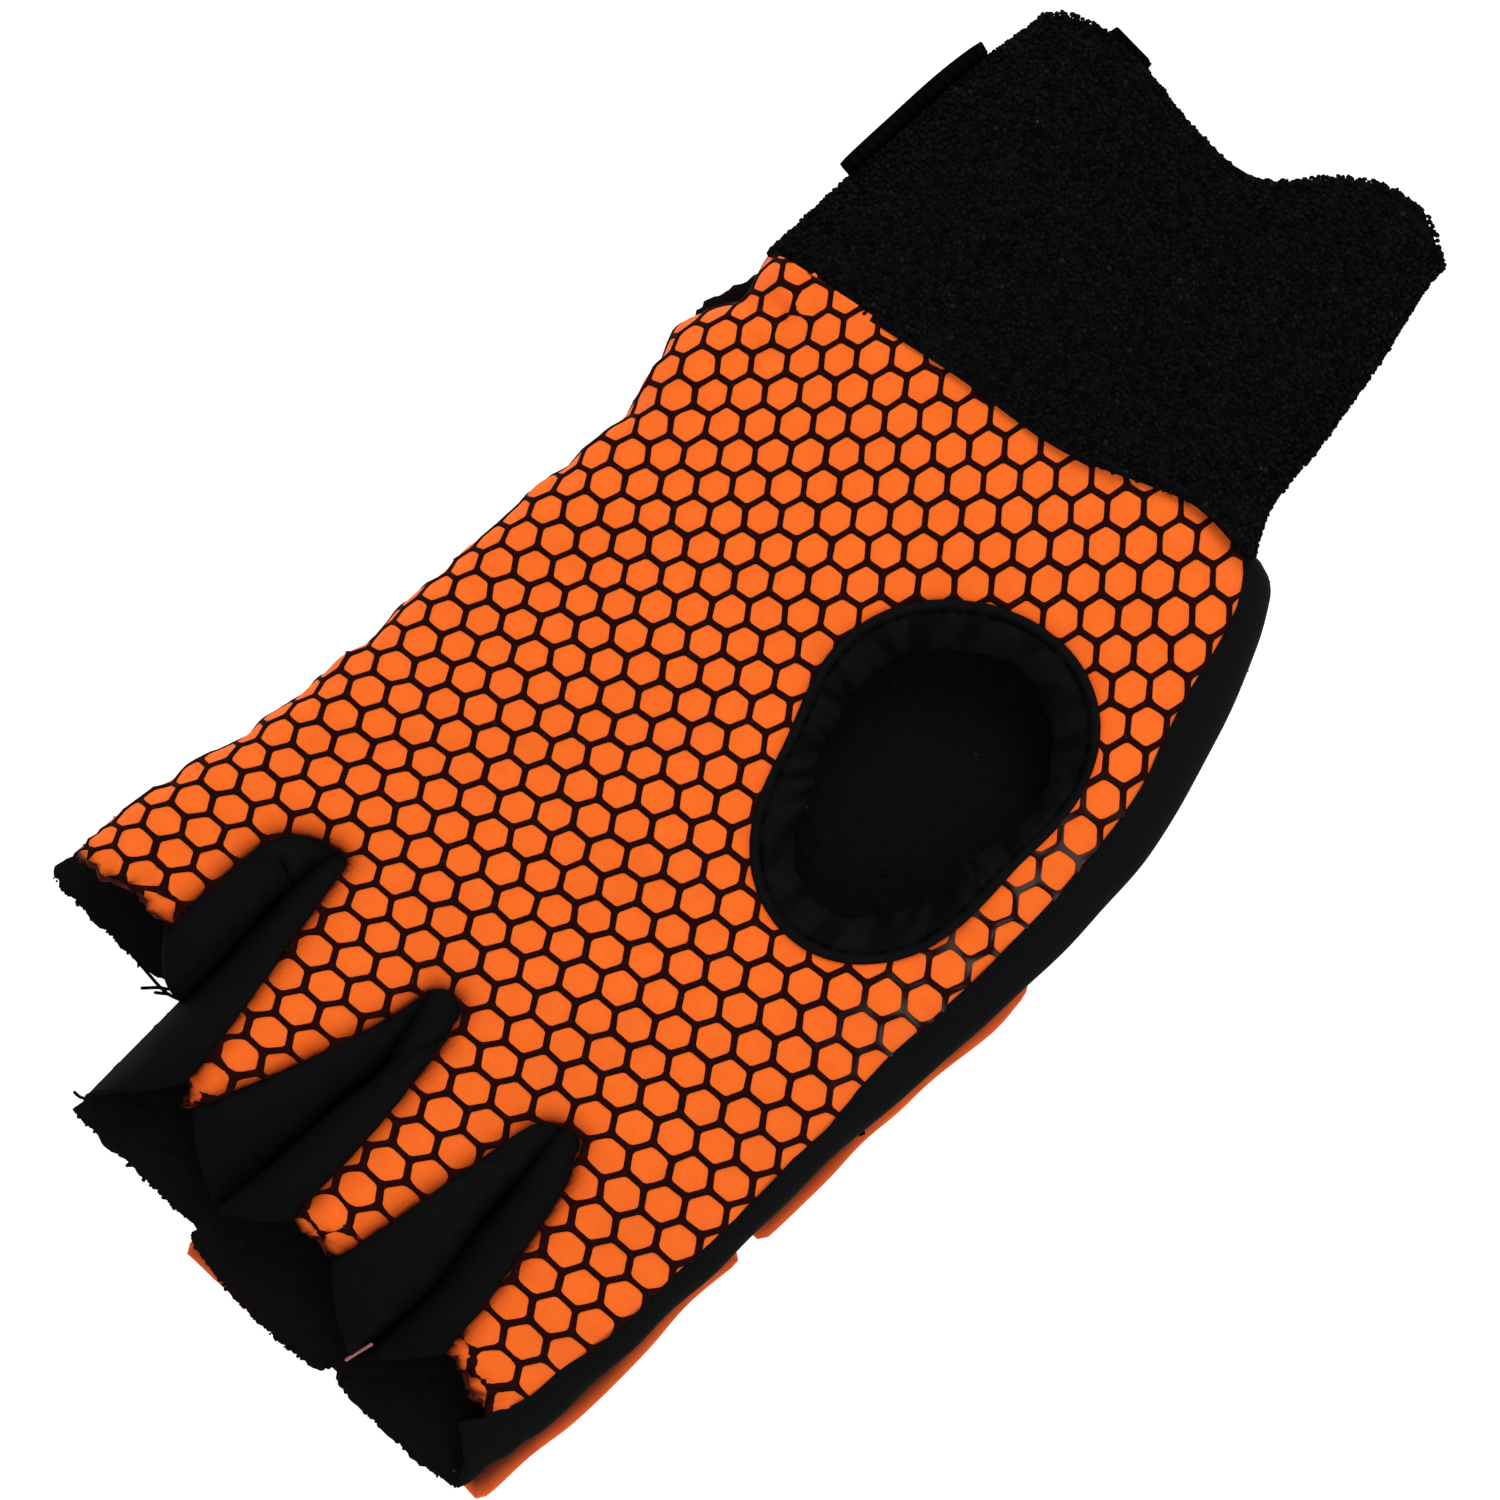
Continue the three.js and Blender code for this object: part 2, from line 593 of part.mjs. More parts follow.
// A point on the cuff's section, moved outwards by a distance. The turn is in half turns from the
// little finger's side, up over the palm's side and round.
function cuffPoint(turn, y, outwards) {
  const angle = turn * Math.PI
  const left = readTable(CUFF_SECTIONS, 'y', y, 'left') - outwards
  const right = readTable(CUFF_SECTIONS, 'y', y, 'right') + outwards
  const low = readTable(CUFF_SECTIONS, 'y', y, 'low') - outwards
  const high = readTable(CUFF_SECTIONS, 'y', y, 'high') + outwards
  const power = 2 / CUFF_SQUARENESS
  const across = Math.sign(Math.cos(angle)) * Math.abs(Math.cos(angle)) ** power
  const up = Math.sign(Math.sin(angle)) * Math.abs(Math.sin(angle)) ** power
  return new THREE.Vector3(
    lerp(left, right, (across + 1) / 2),
    y,
    lerp(low, high, (up + 1) / 2),
  )
}

// The terry cuff: an open tube, cut along its seam with the palm and along its wavy end
function makeCuff() {
  const tube = makeWall({
    columns: 36,
    rows: 13,
    thickness: TERRY_THICKNESS,
    ring: true,
    surface: (u, v) => cuffPoint(2 * u, lerp(-40, -118, v), -TERRY_THICKNESS / 2),
  })
  const outline = [
    ...stretch(60, -60, 20, (x) => cuffSeamY(x) - SEAM_GAP),
    ...stretch(-60, 60, 28, cuffEndY),
  ]
  return toGeometry(toSolid(tube).intersect(uprightCutter(outline)))
}

// The smooth facing inside the cuff's back, with a tab that stands out at the end
function makeFacing() {
  const { start, end, tabLeft, tabRight, tabY, reach } = FACING
  const depth = -(TERRY_THICKNESS + SEAM_GAP + FACING_THICKNESS / 2)
  const sheet = makeWall({
    columns: 8,
    rows: 8,
    thickness: FACING_THICKNESS,
    surface: (u, v) => cuffPoint(lerp(end, start, u), lerp(-60, -116, v), depth),
  })
  const edge = (x) => (x > tabLeft && x < tabRight ? tabY : cuffEndY(x) - reach)
  const outline = [
    ...stretch(60, -60, 12, (x) => Math.min(cuffSeamY(x) - 8, -60)),
    ...stretch(-60, tabLeft, 16, edge),
    { x: tabLeft, y: tabY },
    { x: tabRight, y: tabY },
    ...stretch(tabRight, 60, 6, edge),
  ]
  return toGeometry(toSolid(sheet).intersect(uprightCutter(outline)))
}

// The closing strap: webbing across the cuff's back that turns up round the little finger's side
function makeStrap() {
  const out = SEAM_GAP - 0.05 + STRAP_THICKNESS / 2
  return makeWall({
    columns: 22,
    rows: 3,
    thickness: STRAP_THICKNESS,
    surface: (u, v) => cuffPoint(lerp(STRAP.end, STRAP.start, u), lerp(STRAP.fromY, STRAP.toY, v), out),
  })
}

const glove = new THREE.Group()

function addPiece(name, geometry, look) {
  const mesh = new THREE.Mesh(geometry, new THREE.MeshStandardMaterial(MATERIALS[look]))
  mesh.name = name
  glove.add(mesh)
}

addPiece('palm_panel', makePalm(), 'printed_palm')
addPiece('thumb_binding', makeBinding(), 'black_knit')
FOURCHETTES.forEach(({ name, fold }, i) => {
  addPiece(name, makeFourchette(FINGERS[i], FINGERS[i + 1], fold), 'black_knit')
})
addPiece('side_gusset', makeGusset(), 'black_knit')
addPiece('back_panel', makeBack(), 'fleece')
addPiece('hand_pad', makePad(handPadOutline()), 'orange_pad')
for (const finger of FINGERS) {
  addPiece(`${finger.name}_pad`, makePad(fingerPadOutline(finger)), 'orange_pad')
}
addPiece('cuff', makeCuff(), 'terry')
addPiece('wrist_facing', makeFacing(), 'webbing')
addPiece('closing_strap', makeStrap(), 'webbing')

export default glove
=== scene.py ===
# %% [markdown]
# # A fingerless field hockey glove
# This lesson dresses a left-hand glove that lies on its padded back with the palm up. The real
# one is sewn from an orange knit with a raised black honeycomb print, smooth black stretch knit
# between the fingers, black fleece on the back, foam pads under orange cloth and a terry cuff.
# The imported model fixes every size, so the script starts by loading it.

# %% Load the frame
import math
import bmesh
import bpy
import numpy as np
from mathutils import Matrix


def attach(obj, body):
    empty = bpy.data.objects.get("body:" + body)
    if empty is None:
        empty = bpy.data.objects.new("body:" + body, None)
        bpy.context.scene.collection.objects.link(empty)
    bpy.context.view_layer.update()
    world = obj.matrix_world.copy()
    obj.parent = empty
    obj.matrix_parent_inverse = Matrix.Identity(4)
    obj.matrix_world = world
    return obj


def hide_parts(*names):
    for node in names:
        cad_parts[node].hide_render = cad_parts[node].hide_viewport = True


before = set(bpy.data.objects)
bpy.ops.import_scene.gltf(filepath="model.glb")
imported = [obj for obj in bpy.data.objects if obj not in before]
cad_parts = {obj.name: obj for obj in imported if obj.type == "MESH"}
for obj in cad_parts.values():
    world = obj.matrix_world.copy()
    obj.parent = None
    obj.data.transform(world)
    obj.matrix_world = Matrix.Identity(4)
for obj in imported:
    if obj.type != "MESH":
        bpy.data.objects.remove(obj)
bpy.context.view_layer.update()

MM = 0.001
print("nodes:", sorted(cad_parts))

# %% [markdown]
# ## The camera
# The photograph looks straight down on the glove, with the fingers towards the lower left. A long
# lens from well above keeps the outline free of perspective, as a product photographer would.
# The camera's up direction is turned on the table, so the glove keeps its own square axes.

# %% Make the camera
PHOTO_MM = 210.0          # how much of the table the photograph's side covers
VIEW_CENTRE = (-2.47, 5.6)  # the point of the glove in the middle of the photograph, in mm
CAMERA_TURN = 225.0       # degrees that the photograph is turned on the table
CAMERA_HEIGHT = 1800.0
PALM_LEVEL = 25.0
SENSOR_MM = 36.0


def link_object(name, data):
    """A new object in the scene that shows the given data."""
    linked = bpy.data.objects.new(name, data)
    bpy.context.scene.collection.objects.link(linked)
    return linked


def make_camera():
    data = bpy.data.cameras.new("Camera")
    data.sensor_width = SENSOR_MM
    data.lens = SENSOR_MM * (CAMERA_HEIGHT - PALM_LEVEL) / PHOTO_MM
    camera = link_object("Camera", data)
    camera.location = (VIEW_CENTRE[0] * MM, VIEW_CENTRE[1] * MM, CAMERA_HEIGHT * MM)
    camera.rotation_euler = (0, 0, math.radians(CAMERA_TURN))
    bpy.context.scene.camera = camera
    return camera


print("lens:", round(make_camera().data.lens), "mm")

# %% [markdown]
# ## Light and table
# The photograph is lit all round, on white, with hardly a shadow. A bright even world does most
# of that work, and two large soft lamps give the cloth enough direction to show its folds.

# %% Light the table
WORLD_STRENGTH = 0.58
FLOOR_SIZE = 6.0
LAMPS = [
    # name, where it hangs in metres, its size in metres, its power in watts
    ("Key", (0.5, -0.9, 1.1), 0.9, 10.5),
    ("Fill", (-0.9, 0.5, 1.2), 1.2, 5.5),
]


def make_world():
    world = bpy.data.worlds.new("Studio")
    world.use_nodes = True
    background = world.node_tree.nodes["Background"]
    background.inputs["Color"].default_value = (1, 1, 1, 1)
    background.inputs["Strength"].default_value = WORLD_STRENGTH
    bpy.context.scene.world = world
    bpy.context.scene.view_settings.view_transform = "Standard"


def make_lamp(name, place, size, power):
    data = bpy.data.lights.new(name, "AREA")
    data.shape = "DISK"
    data.size = size
    data.energy = power
    lamp = link_object(name, data)
    lamp.location = place
    lamp.rotation_euler = (-lamp.location).to_track_quat("-Z", "Y").to_euler()


make_world()
for lamp_row in LAMPS:
    make_lamp(*lamp_row)
print("lamps:", [row[0] for row in LAMPS])

# %% [markdown]
# ## Tools for shapes
# Cloth is easiest to build as a flat grid whose points are then moved by a function, because the
# same function can place the cloth, its print and its stitches. The tables below hold the
# glove's outline in millimetres, and a smooth curve is drawn through their rows.

# %% Curves through tables
def curve_through(places, values, at):
    """A smooth curve through a column of a table, read at many places."""
    places = np.asarray(places, float)
    values = np.asarray(values, float)
    at = np.asarray(at, float)
    before = np.maximum(np.arange(len(places)) - 1, 0)
    after = np.minimum(np.arange(len(places)) + 1, len(places) - 1)
    slopes = (values[after] - values[before]) / (places[after] - places[before])
    i = np.clip(np.searchsorted(places, at, side="right") - 1, 0, len(places) - 2)
    step = places[i + 1] - places[i]
    t = np.clip((at - places[i]) / step, 0, 1)
    rise = values[i + 1] - values[i]
    a = slopes[i] * step - rise
    b = rise - slopes[i + 1] * step
    return values[i] + rise * t + t * (1 - t) * (a * (1 - t) + b * t)


def mix(a, b, t):
    return a + (b - a) * t


def smooth_step(value, low, high):
    t = np.clip((value - low) / (high - low), 0, 1)
    return t * t * (3 - 2 * t)


def lengths_along(line):
    """How far each point of a line is from its first, along the line."""
    return np.append(0, np.cumsum(np.linalg.norm(np.diff(line, axis=0), axis=1)))


# Where soft hills are used: how far they lie apart, their height, and the seed of their waves
HILLS = {
    "palm": (26, 0.22, 3), "palm ripple": (6, 0.055, 4), "tip crumple": (5.5, 0.55, 5),
    "tip wrinkle": (2.3, 0.35, 6), "turned side": (9, 0.25, 8), "tip across": (3.1, 0.35, 9),
    "tip along": (2.7, 0.25, 10), "print across": (0.9, 0.008, 21), "print along": (0.9, 0.008, 22),
    "print glint": (5, 1, 23), "groove": (3.5, 1, 33), "band": (7, 1, 34), "strip": (12, 0.16, 41),
    "strip ripple": (4, 0.05, 42), "tape tip": (4.5, 0.3, 51), "tape": (16, 0.14, 52),
    "cut across": (2.0, 0.12, 61), "cut along": (1.8, 0.14, 62), "fleece": (3.0, 0.14, 63),
    "pad": (16, 0.14, 101),
}
WAVES_IN_HILLS = 14


def hills(use, x, y):
    """Smooth random hills of about the height given, from waves in random directions."""
    spacing, height, seed = HILLS[use]
    rng = np.random.default_rng(seed)
    total = np.zeros(np.broadcast(x, y).shape)
    for _ in range(WAVES_IN_HILLS):
        angle, phase, stretch = rng.uniform(0, 2 * np.pi), rng.uniform(0, 2 * np.pi), rng.uniform(0.6, 1.5)
        along = x * math.cos(angle) + y * math.sin(angle)
        total = total + np.cos(along * 2 * np.pi * stretch / spacing + phase)
    return height * (total / math.sqrt(WAVES_IN_HILLS / 2))


# %% The glove's outline
SECTION_NAMES = ("y", "seam", "side", "crown", "seam_height")
SECTIONS = np.array([
    (-66, -28.0, -36.2, 24.6, 17.0),
    (-60, -34.9, -40.2, 24.7, 17.3),
    (-55, -37.8, -43.0, 24.8, 17.5),
    (-45, -40.3, -47.1, 24.8, 18.5),
    (-35, -43.2, -49.9, 24.8, 19.5),
    (-24, -46.4, -52.8, 25.2, 20.0),
    (-14, -47.5, -53.6, 25.5, 20.0),
    (-2, -48.0, -53.8, 25.8, 20.0),
    (8, -47.7, -53.1, 25.9, 19.8),
    (20, -47.2, -52.9, 26.0, 19.5),
    (38, -47.6, -51.4, 25.8, 19.0),
    (54, -48.0, -51.1, 25.4, 18.5),
    (72, -47.0, -50.6, 24.4, 18.0),
    (84, -45.8, -50.2, 23.6, 17.5),
    (92, -45.2, -49.7, 23.1, 17.2),
    (100, -42.4, -48.3, 22.6, 17.0),
    (108, -40.0, -46.8, 22.2, 16.8),
])
# The other long side, where the palm turns down and meets the back
OUTER_NAMES = ("y", "palm", "back")
OUTER_SIDE = np.array([
    (-66, 45.0, 44.0),
    (-45, 44.9, 44.2),
    (-41, 43.8, 44.7),
    (-38, 43.2, 45.8),
    (-34, 45.3, 46.5),
    (-30, 46.4, 46.0),
    (-26, 46.0, 45.2),
    (-21, 44.6, 43.8),
    (-15, 43.3, 42.6),
    (-8, 43.8, 43.0),
    (8, 45.1, 44.2),
    (20, 46.1, 45.0),
    (38, 46.9, 45.8),
    (54, 49.2, 48.4),
    (62, 51.2, 50.6),
    (70, 53.2, 52.6),
    (84, 54.3, 54.6),
    (108, 54.4, 54.8),
])
CUFF_SEAM = np.array([(-38, -63.0), (-24, -62.0), (-4, -54.4), (15, -51.3), (31, -47.9), (48, -44.4)])
CUFF_END = np.array([
    (-30, -108.0), (-21, -113.7), (-15, -114.5), (-7, -110.9), (4, -101.2),
    (15, -99.9), (25, -100.9), (35, -100.8), (39, -99.0), (42, -95.2), (50, -86.0),
])
CUFF_NAMES = ("y", "left", "right", "low", "high")
CUFF_SECTIONS = np.array([
    (-118, -23.5, 40.4, 2.3, 25.0),
    (-108, -24.1, 40.6, 2.2, 25.6),
    (-97, -26.6, 41.7, 2.15, 26.4),
    (-82, -29.2, 44.0, 2.15, 26.9),
    (-70, -30.6, 44.7, 2.15, 26.9),
    (-60, -35.6, 45.1, 2.4, 26.8),
    (-42, -37.0, 45.8, 3.2, 26.6),
])
# The pads' edge on the index side
PAD_SIDE = np.array([
    (-1, -54.5), (10, -54.8), (27, -53.3), (40, -53.2), (54, -53.1), (64, -52.0), (84, -52.4),
    (98, -51.4), (108, -50.3),
])


def read_table(table, at, column=1):
    """One column of a table as a smooth curve along its first column."""
    return curve_through(table[:, 0], table[:, column], at)


def section(y, name):
    return read_table(SECTIONS, y, SECTION_NAMES.index(name))


def outer_side(y, name):
    return read_table(OUTER_SIDE, y, OUTER_NAMES.index(name))


def cuff_section(y, name):
    return read_table(CUFF_SECTIONS, y, CUFF_NAMES.index(name))


# Each side of a finger's front: its root, its tip, and a bow under 1 that leaves the root steeply.
# A back and a pad: left, right, tip on the left and right, corner on the left and right. A back's
# tip also bulges.
FINGERS = {
    "index": {"left": (-60, 62, -46.8, 98.9, 1), "right": (-25.6, 63, -32.4, 94.9, 0.55),
              "back": (-46.6, -23.8, 108.7, 109.9, 1.2, 1.6, 0.7),
              "pad": (-50.3, -26.0, 107.8, 107.8, 0.6, 2.4)},
    "middle": {"left": (-17.6, 65.5, -11.6, 97.2, 1), "right": (-0.6, 62, -3.9, 97.4, 0.5),
               "back": (-23.0, 4.9, 110.2, 110.1, 3.5, 1.0, 1.6),
               "pad": (-20.6, 4.3, 111.3, 112.4, 5.0, 0.8)},
    "ring": {"left": (6.0, 62.5, 17.4, 96.0, 1.25), "right": (25.6, 57.5, 20.0, 93.4, 1),
             "back": (5.1, 29.2, 108.7, 109.2, 2.4, 0.8, -0.1),
             "pad": (7.4, 27.6, 105.6, 105.6, 2.4, 2.4)},
    "pinky": {"left": (36.6, 62.5, 38.0, 80.4, 0.5), "right": (60, 62, 60, 83.2, 1),
              "back": (30.2, 54.9, 87.7, 88.0, 6.5, 1.8, 0.0),
              "pad": (31.8, 52.0, 85.0, 85.0, 2.4, 2.4)},
}
PINKY_PAD_START = 46.6
FINGER_ORDER = ("index", "middle", "ring", "pinky")
# The strips between the fingers, and where each lies across the hand
FOLDS = {"fourchette_3": -19.6, "fourchette_2": 2.9, "fourchette_1": 29.9}
CROTCH_DEPTH = 3.4
# The hole's shape as seen from its middle: a mean radius, and waves round it with the number of
# waves, their size in mm and where they start in degrees
HOLE_MIDDLE = (-21.5, -8.0)
HOLE_EDGE = {"radius": 23.8, "waves": ((1, 0.8, 136), (2, 4.35, 167), (3, 1.2, 38), (4, 0.3, 78))}
HOLE_OPENING = {
    "radius": 17.5,
    "waves": ((1, 1.2, 153), (2, 3.45, 170), (3, 1.2, 46), (4, 0.4, -32), (6, 0.35, -169)),
}
WELT = 1.6
BAND_END = 7.15
BACK_TOP = 10.75
BACK_THICKNESS = 2.4


def tip_line(back, x):
    """The cut end of a finger's back at places across it, with its rounded corners."""
    left, right, tip_left, tip_right, corner_left, corner_right, bulge = back
    share = (x - left) / (right - left)
    y = mix(tip_left, tip_right, share) + bulge * 4 * share * (1 - share)
    for corner, gap in ((corner_left, x - left), (corner_right, right - x)):
        inside = np.clip(1 - gap / corner, 0, 1)
        y = y - corner * (1 - np.sqrt(1 - inside ** 2))
    return y


def finger_side(side, t):
    """Points along one side of a finger's front, from its root at 0 to its tip at 1."""
    root_x, root_y, tip_x, tip_y, bow = side
    t = np.asarray(t, float)
    return mix(root_x, tip_x, t ** bow), mix(root_y, tip_y, t)


def crotch_curve(finger, after, t):
    """The palm's edge in the gap between two fingers, and the direction that it runs in."""
    (from_x, from_y), (to_x, to_y) = finger["right"][:2], after["left"][:2]
    down = CROTCH_DEPTH * 4 / 3
    corners = np.array([(from_x, from_y), (from_x, from_y - down), (to_x, to_y - down), (to_x, to_y)])
    t = np.asarray(t, float)[..., None]
    place = ((1 - t) ** 3 * corners[0] + 3 * (1 - t) ** 2 * t * corners[1]
             + 3 * (1 - t) * t ** 2 * corners[2] + t ** 3 * corners[3])
    along = ((1 - t) ** 2 * (corners[1] - corners[0]) + 2 * (1 - t) * t * (corners[2] - corners[1])
             + t ** 2 * (corners[3] - corners[2]))
    along = along / np.maximum(np.linalg.norm(along, axis=-1, keepdims=True), 1e-9)
    return place, along


def hole_radius(turn, shape):
    angle = np.asarray(turn) * 2 * np.pi
    waves = sum(size * np.cos(count * angle + math.radians(start)) for count, size, start in shape["waves"])
    return shape["radius"] + waves


def hole_edge(turn, inwards=0.0):
    """The thumb hole's edge at turns from 0 to 1, moved inwards. The welt keeps its width, and
    the band inside it stretches to reach the opening."""
    outer, opening = hole_radius(turn, HOLE_EDGE), hole_radius(turn, HOLE_OPENING)
    band = np.maximum((inwards - WELT) / (BAND_END - WELT), 0)
    radius = outer - np.minimum(inwards, WELT) - band * (outer - WELT - opening)
    angle = np.asarray(turn) * 2 * np.pi
    return HOLE_MIDDLE[0] + radius * np.cos(angle), HOLE_MIDDLE[1] + radius * np.sin(angle)


print("palm width in mm:", round(float(outer_side(0, "palm") - section(0, "seam")), 1))

# %% [markdown]
# ## Making and trimming a sheet
# A grid is cut to the pattern's edge as a sewer cuts cloth. Faces that lie wholly outside are
# deleted, and the points just past the edge slide onto it, which gives a clean line with no
# Boolean. Each sheet keeps its flat position in millimetres as a UV map for its weave.

# %% Sheet helpers
def new_object(name, bm):
    mesh = bpy.data.meshes.new(name)
    bm.to_mesh(mesh)
    bm.free()
    mesh.polygons.foreach_set("use_smooth", np.ones(len(mesh.polygons), bool))
    return link_object(name, mesh)


def move_points(piece, points_mm):
    piece.data.vertices.foreach_set("co", (np.asarray(points_mm) * MM).astype(np.float32).ravel())
    piece.data.update()


def set_uv(piece, flat_mm):
    """Gives each corner the flat place of its point, in millimetres."""
    layer = piece.data.uv_layers.new(name="Cloth")
    corner = np.zeros(len(piece.data.loops), np.int32)
    piece.data.loops.foreach_get("vertex_index", corner)
    layer.data.foreach_set("uv", np.asarray(flat_mm, np.float32)[corner].ravel())


def lay(name, bm, points_mm, flat_mm):
    """A piece of cloth with its points in place, which remembers where they lie on flat cloth."""
    piece = new_object(name, bm)
    move_points(piece, points_mm)
    set_uv(piece, flat_mm)
    return piece


def set_mask(piece, name, values):
    """Keeps one value for each point, for a material to read."""
    attribute = piece.data.attributes.new(name, "FLOAT", "POINT")
    attribute.data.foreach_set("value", np.asarray(values, np.float32))


def grid_mesh(columns, rows):
    """A flat grid, and the share of the way across and along at each point."""
    bm = bmesh.new()
    bmesh.ops.create_grid(bm, x_segments=columns, y_segments=rows, size=0.5)
    places = np.array([vertex.co[:2] for vertex in bm.verts]) + 0.5
    return bm, places[:, 0], places[:, 1]

def closed(path):
    """The edges of a closed outline, each as its start and its end."""
    return np.stack([path, np.roll(path, -1, axis=0)], axis=1)


EDGE_BATCH = 2000


def edge_distances(points, edges, labels):
    """For each point: whether the edges enclose it, its nearest edge point, and the distance to
    the nearest edge of each label."""
    start, end = edges[:, 0], edges[:, 1]
    along = end - start
    length2 = np.maximum((along ** 2).sum(1), 1e-12)
    inside = np.zeros(len(points), bool)
    nearest = np.zeros((len(points), 2))
    names = sorted(set(labels))
    member = {name: np.array([label == name for label in labels]) for name in names}
    far = {name: np.zeros(len(points)) for name in names}
    for first in range(0, len(points), EDGE_BATCH):
        part = slice(first, first + EDGE_BATCH)
        away = points[part, None] - start[None]
        t = np.clip((away * along).sum(-1) / length2, 0, 1)
        near = start + t[..., None] * along
        distance = np.linalg.norm(points[part, None] - near, axis=-1)
        best = distance.argmin(1)
        nearest[part] = near[np.arange(len(best)), best]
        for name in names:
            far[name][part] = distance[:, member[name]].min(1)
        crosses = (start[:, 1] > points[part, None, 1]) != (end[:, 1] > points[part, None, 1])
        rise = np.where(along[:, 1] == 0, 1e-12, along[:, 1])
        at_x = start[:, 0] + (points[part, None, 1] - start[:, 1]) * along[:, 0] / rise
        inside[part] = ((crosses & (points[part, None, 0] < at_x)).sum(1) % 2) == 1
    return inside, nearest, far


def copies(template_bm, count):
    """A mesh with copies of a small shape, and the places of one copy's points."""
    template = bpy.data.meshes.new("template")
    template_bm.to_mesh(template)
    template_bm.free()
    local = np.array([vertex.co[:] for vertex in template.vertices])
    bm = bmesh.new()
    for _ in range(count):
        bm.from_mesh(template)
    bpy.data.meshes.remove(template)
    return bm, local


def ball(subdivisions=1):
    bm = bmesh.new()
    bmesh.ops.create_icosphere(bm, subdivisions=subdivisions, radius=1.0)
    return bm


def trim(bm, flat, inside, nearest, height=0.0):
    """Deletes the faces outside and slides the last points onto the edge. Gives the flat places
    of the points that are left, and their heights."""
    flat = np.where(inside[:, None], flat, nearest)
    places = np.c_[flat, np.broadcast_to(height, len(flat))]
    bm.verts.index_update()
    lost = [face for face in bm.faces if not any(inside[vertex.index] for vertex in face.verts)]
    for vertex, place in zip(bm.verts, places):
        vertex.co = place
    bmesh.ops.delete(bm, geom=lost, context="FACES")
    left = np.array([vertex.co[:] for vertex in bm.verts])
    return left[:, :2], left[:, 2]


def thicken(piece, thickness_mm):
    wall = piece.modifiers.new("Thickness", "SOLIDIFY")
    wall.thickness = thickness_mm * MM
    wall.offset = 0.0
    wall.use_even_offset = False


def join_ring(piece):
    """Joins the ends of a sheet that was laid round, and turns its faces outwards."""
    bm = bmesh.new()
    bm.from_mesh(piece.data)
    bmesh.ops.remove_doubles(bm, verts=bm.verts, dist=0.005 * MM)
    bmesh.ops.recalc_face_normals(bm, faces=bm.faces)
    bm.to_mesh(piece.data)
    bm.free()


def sheet_area(piece):
    bm = bmesh.new()
    bm.from_mesh(piece.data)
    area = sum(face.calc_area() for face in bm.faces)
    bm.free()
    return area


def in_square_cm(area):
    return round(area * 1e4, 1)

# %% [markdown]
# ## Materials
# Black cloth is hard to render: the photograph's blacks differ only by a few steps, and most of
# what the eye reads is grain and a faint sheen. Effects that several cloths share are node groups,
# built once, and each material gives them its own sizes. Shaders stay in the materials.

# %% Node helpers
MIX_LOW, MIX_HIGH, MIX_RESULT = 6, 7, 2    # the colour sockets of a mix node
BAND_SCALE = 0.5                           # gives a wave texture one band in each unit of length


def add(tree, kind, feeds=None, **settings):
    """A node. Feeds gives its inputs by name or number, each a value or a socket to link."""
    node = tree.nodes.new(kind)
    for key, value in settings.items():
        setattr(node, key, value)
    for key, value in (feeds or {}).items():
        if isinstance(value, bpy.types.NodeSocket):
            tree.links.new(value, node.inputs[key])
        else:
            node.inputs[key].default_value = value
    return node


def math_node(tree, operation, *feeds, use_clamp=False):
    feeds = dict(enumerate(feeds))
    return add(tree, "ShaderNodeMath", feeds, operation=operation, use_clamp=use_clamp).outputs[0]


def scaled(tree, place, by):
    return add(tree, "ShaderNodeVectorMath", {0: place, "Scale": by}, operation="SCALE").outputs[0]


def bands(tree, place, direction, scale, distortion, profile="SIN", detail_scale=1.0):
    feeds = {"Vector": place, "Scale": scale, "Distortion": distortion, "Detail Scale": detail_scale}
    settings = {"wave_type": "BANDS", "bands_direction": direction, "wave_profile": profile}
    return add(tree, "ShaderNodeTexWave", feeds, **settings).outputs["Fac"]


def new_group(name, place, numbers, outputs):
    """A group that reads a place and some numbers with usual values, and gives numbers."""
    group = bpy.data.node_groups.new(name, "ShaderNodeTree")
    group.interface.new_socket(place, in_out="INPUT", socket_type="NodeSocketVector")
    for label, value in numbers.items():
        socket = group.interface.new_socket(label, in_out="INPUT", socket_type="NodeSocketFloat")
        socket.default_value = value
    for label in outputs:
        group.interface.new_socket(label, in_out="OUTPUT", socket_type="NodeSocketFloat")
    return group, group.nodes.new("NodeGroupInput").outputs, group.nodes.new("NodeGroupOutput").inputs


def make_grain_group():
    """Fine knit: rows of small stitches, with a little unevenness. Reads the flat cloth."""
    numbers = {"Rows per mm": 2.0, "Unevenness": 0.4}
    group, given, result = new_group("Knit grain", "Flat", numbers, ("Height", "Mottle"))
    rows = scaled(group, given["Flat"], given["Rows per mm"])
    across, along = (bands(group, rows, direction, BAND_SCALE, 0.6) for direction in "XY")
    both = math_node(group, "MULTIPLY", across, along)
    cloud = add(group, "ShaderNodeTexNoise", {"Vector": given["Flat"], "Scale": 0.35, "Detail": 4.0})
    mottle = cloud.outputs["Fac"]
    uneven = math_node(group, "MULTIPLY_ADD", mottle, given["Unevenness"], both)
    group.links.new(uneven, result["Height"])
    group.links.new(mottle, result["Mottle"])
    return group


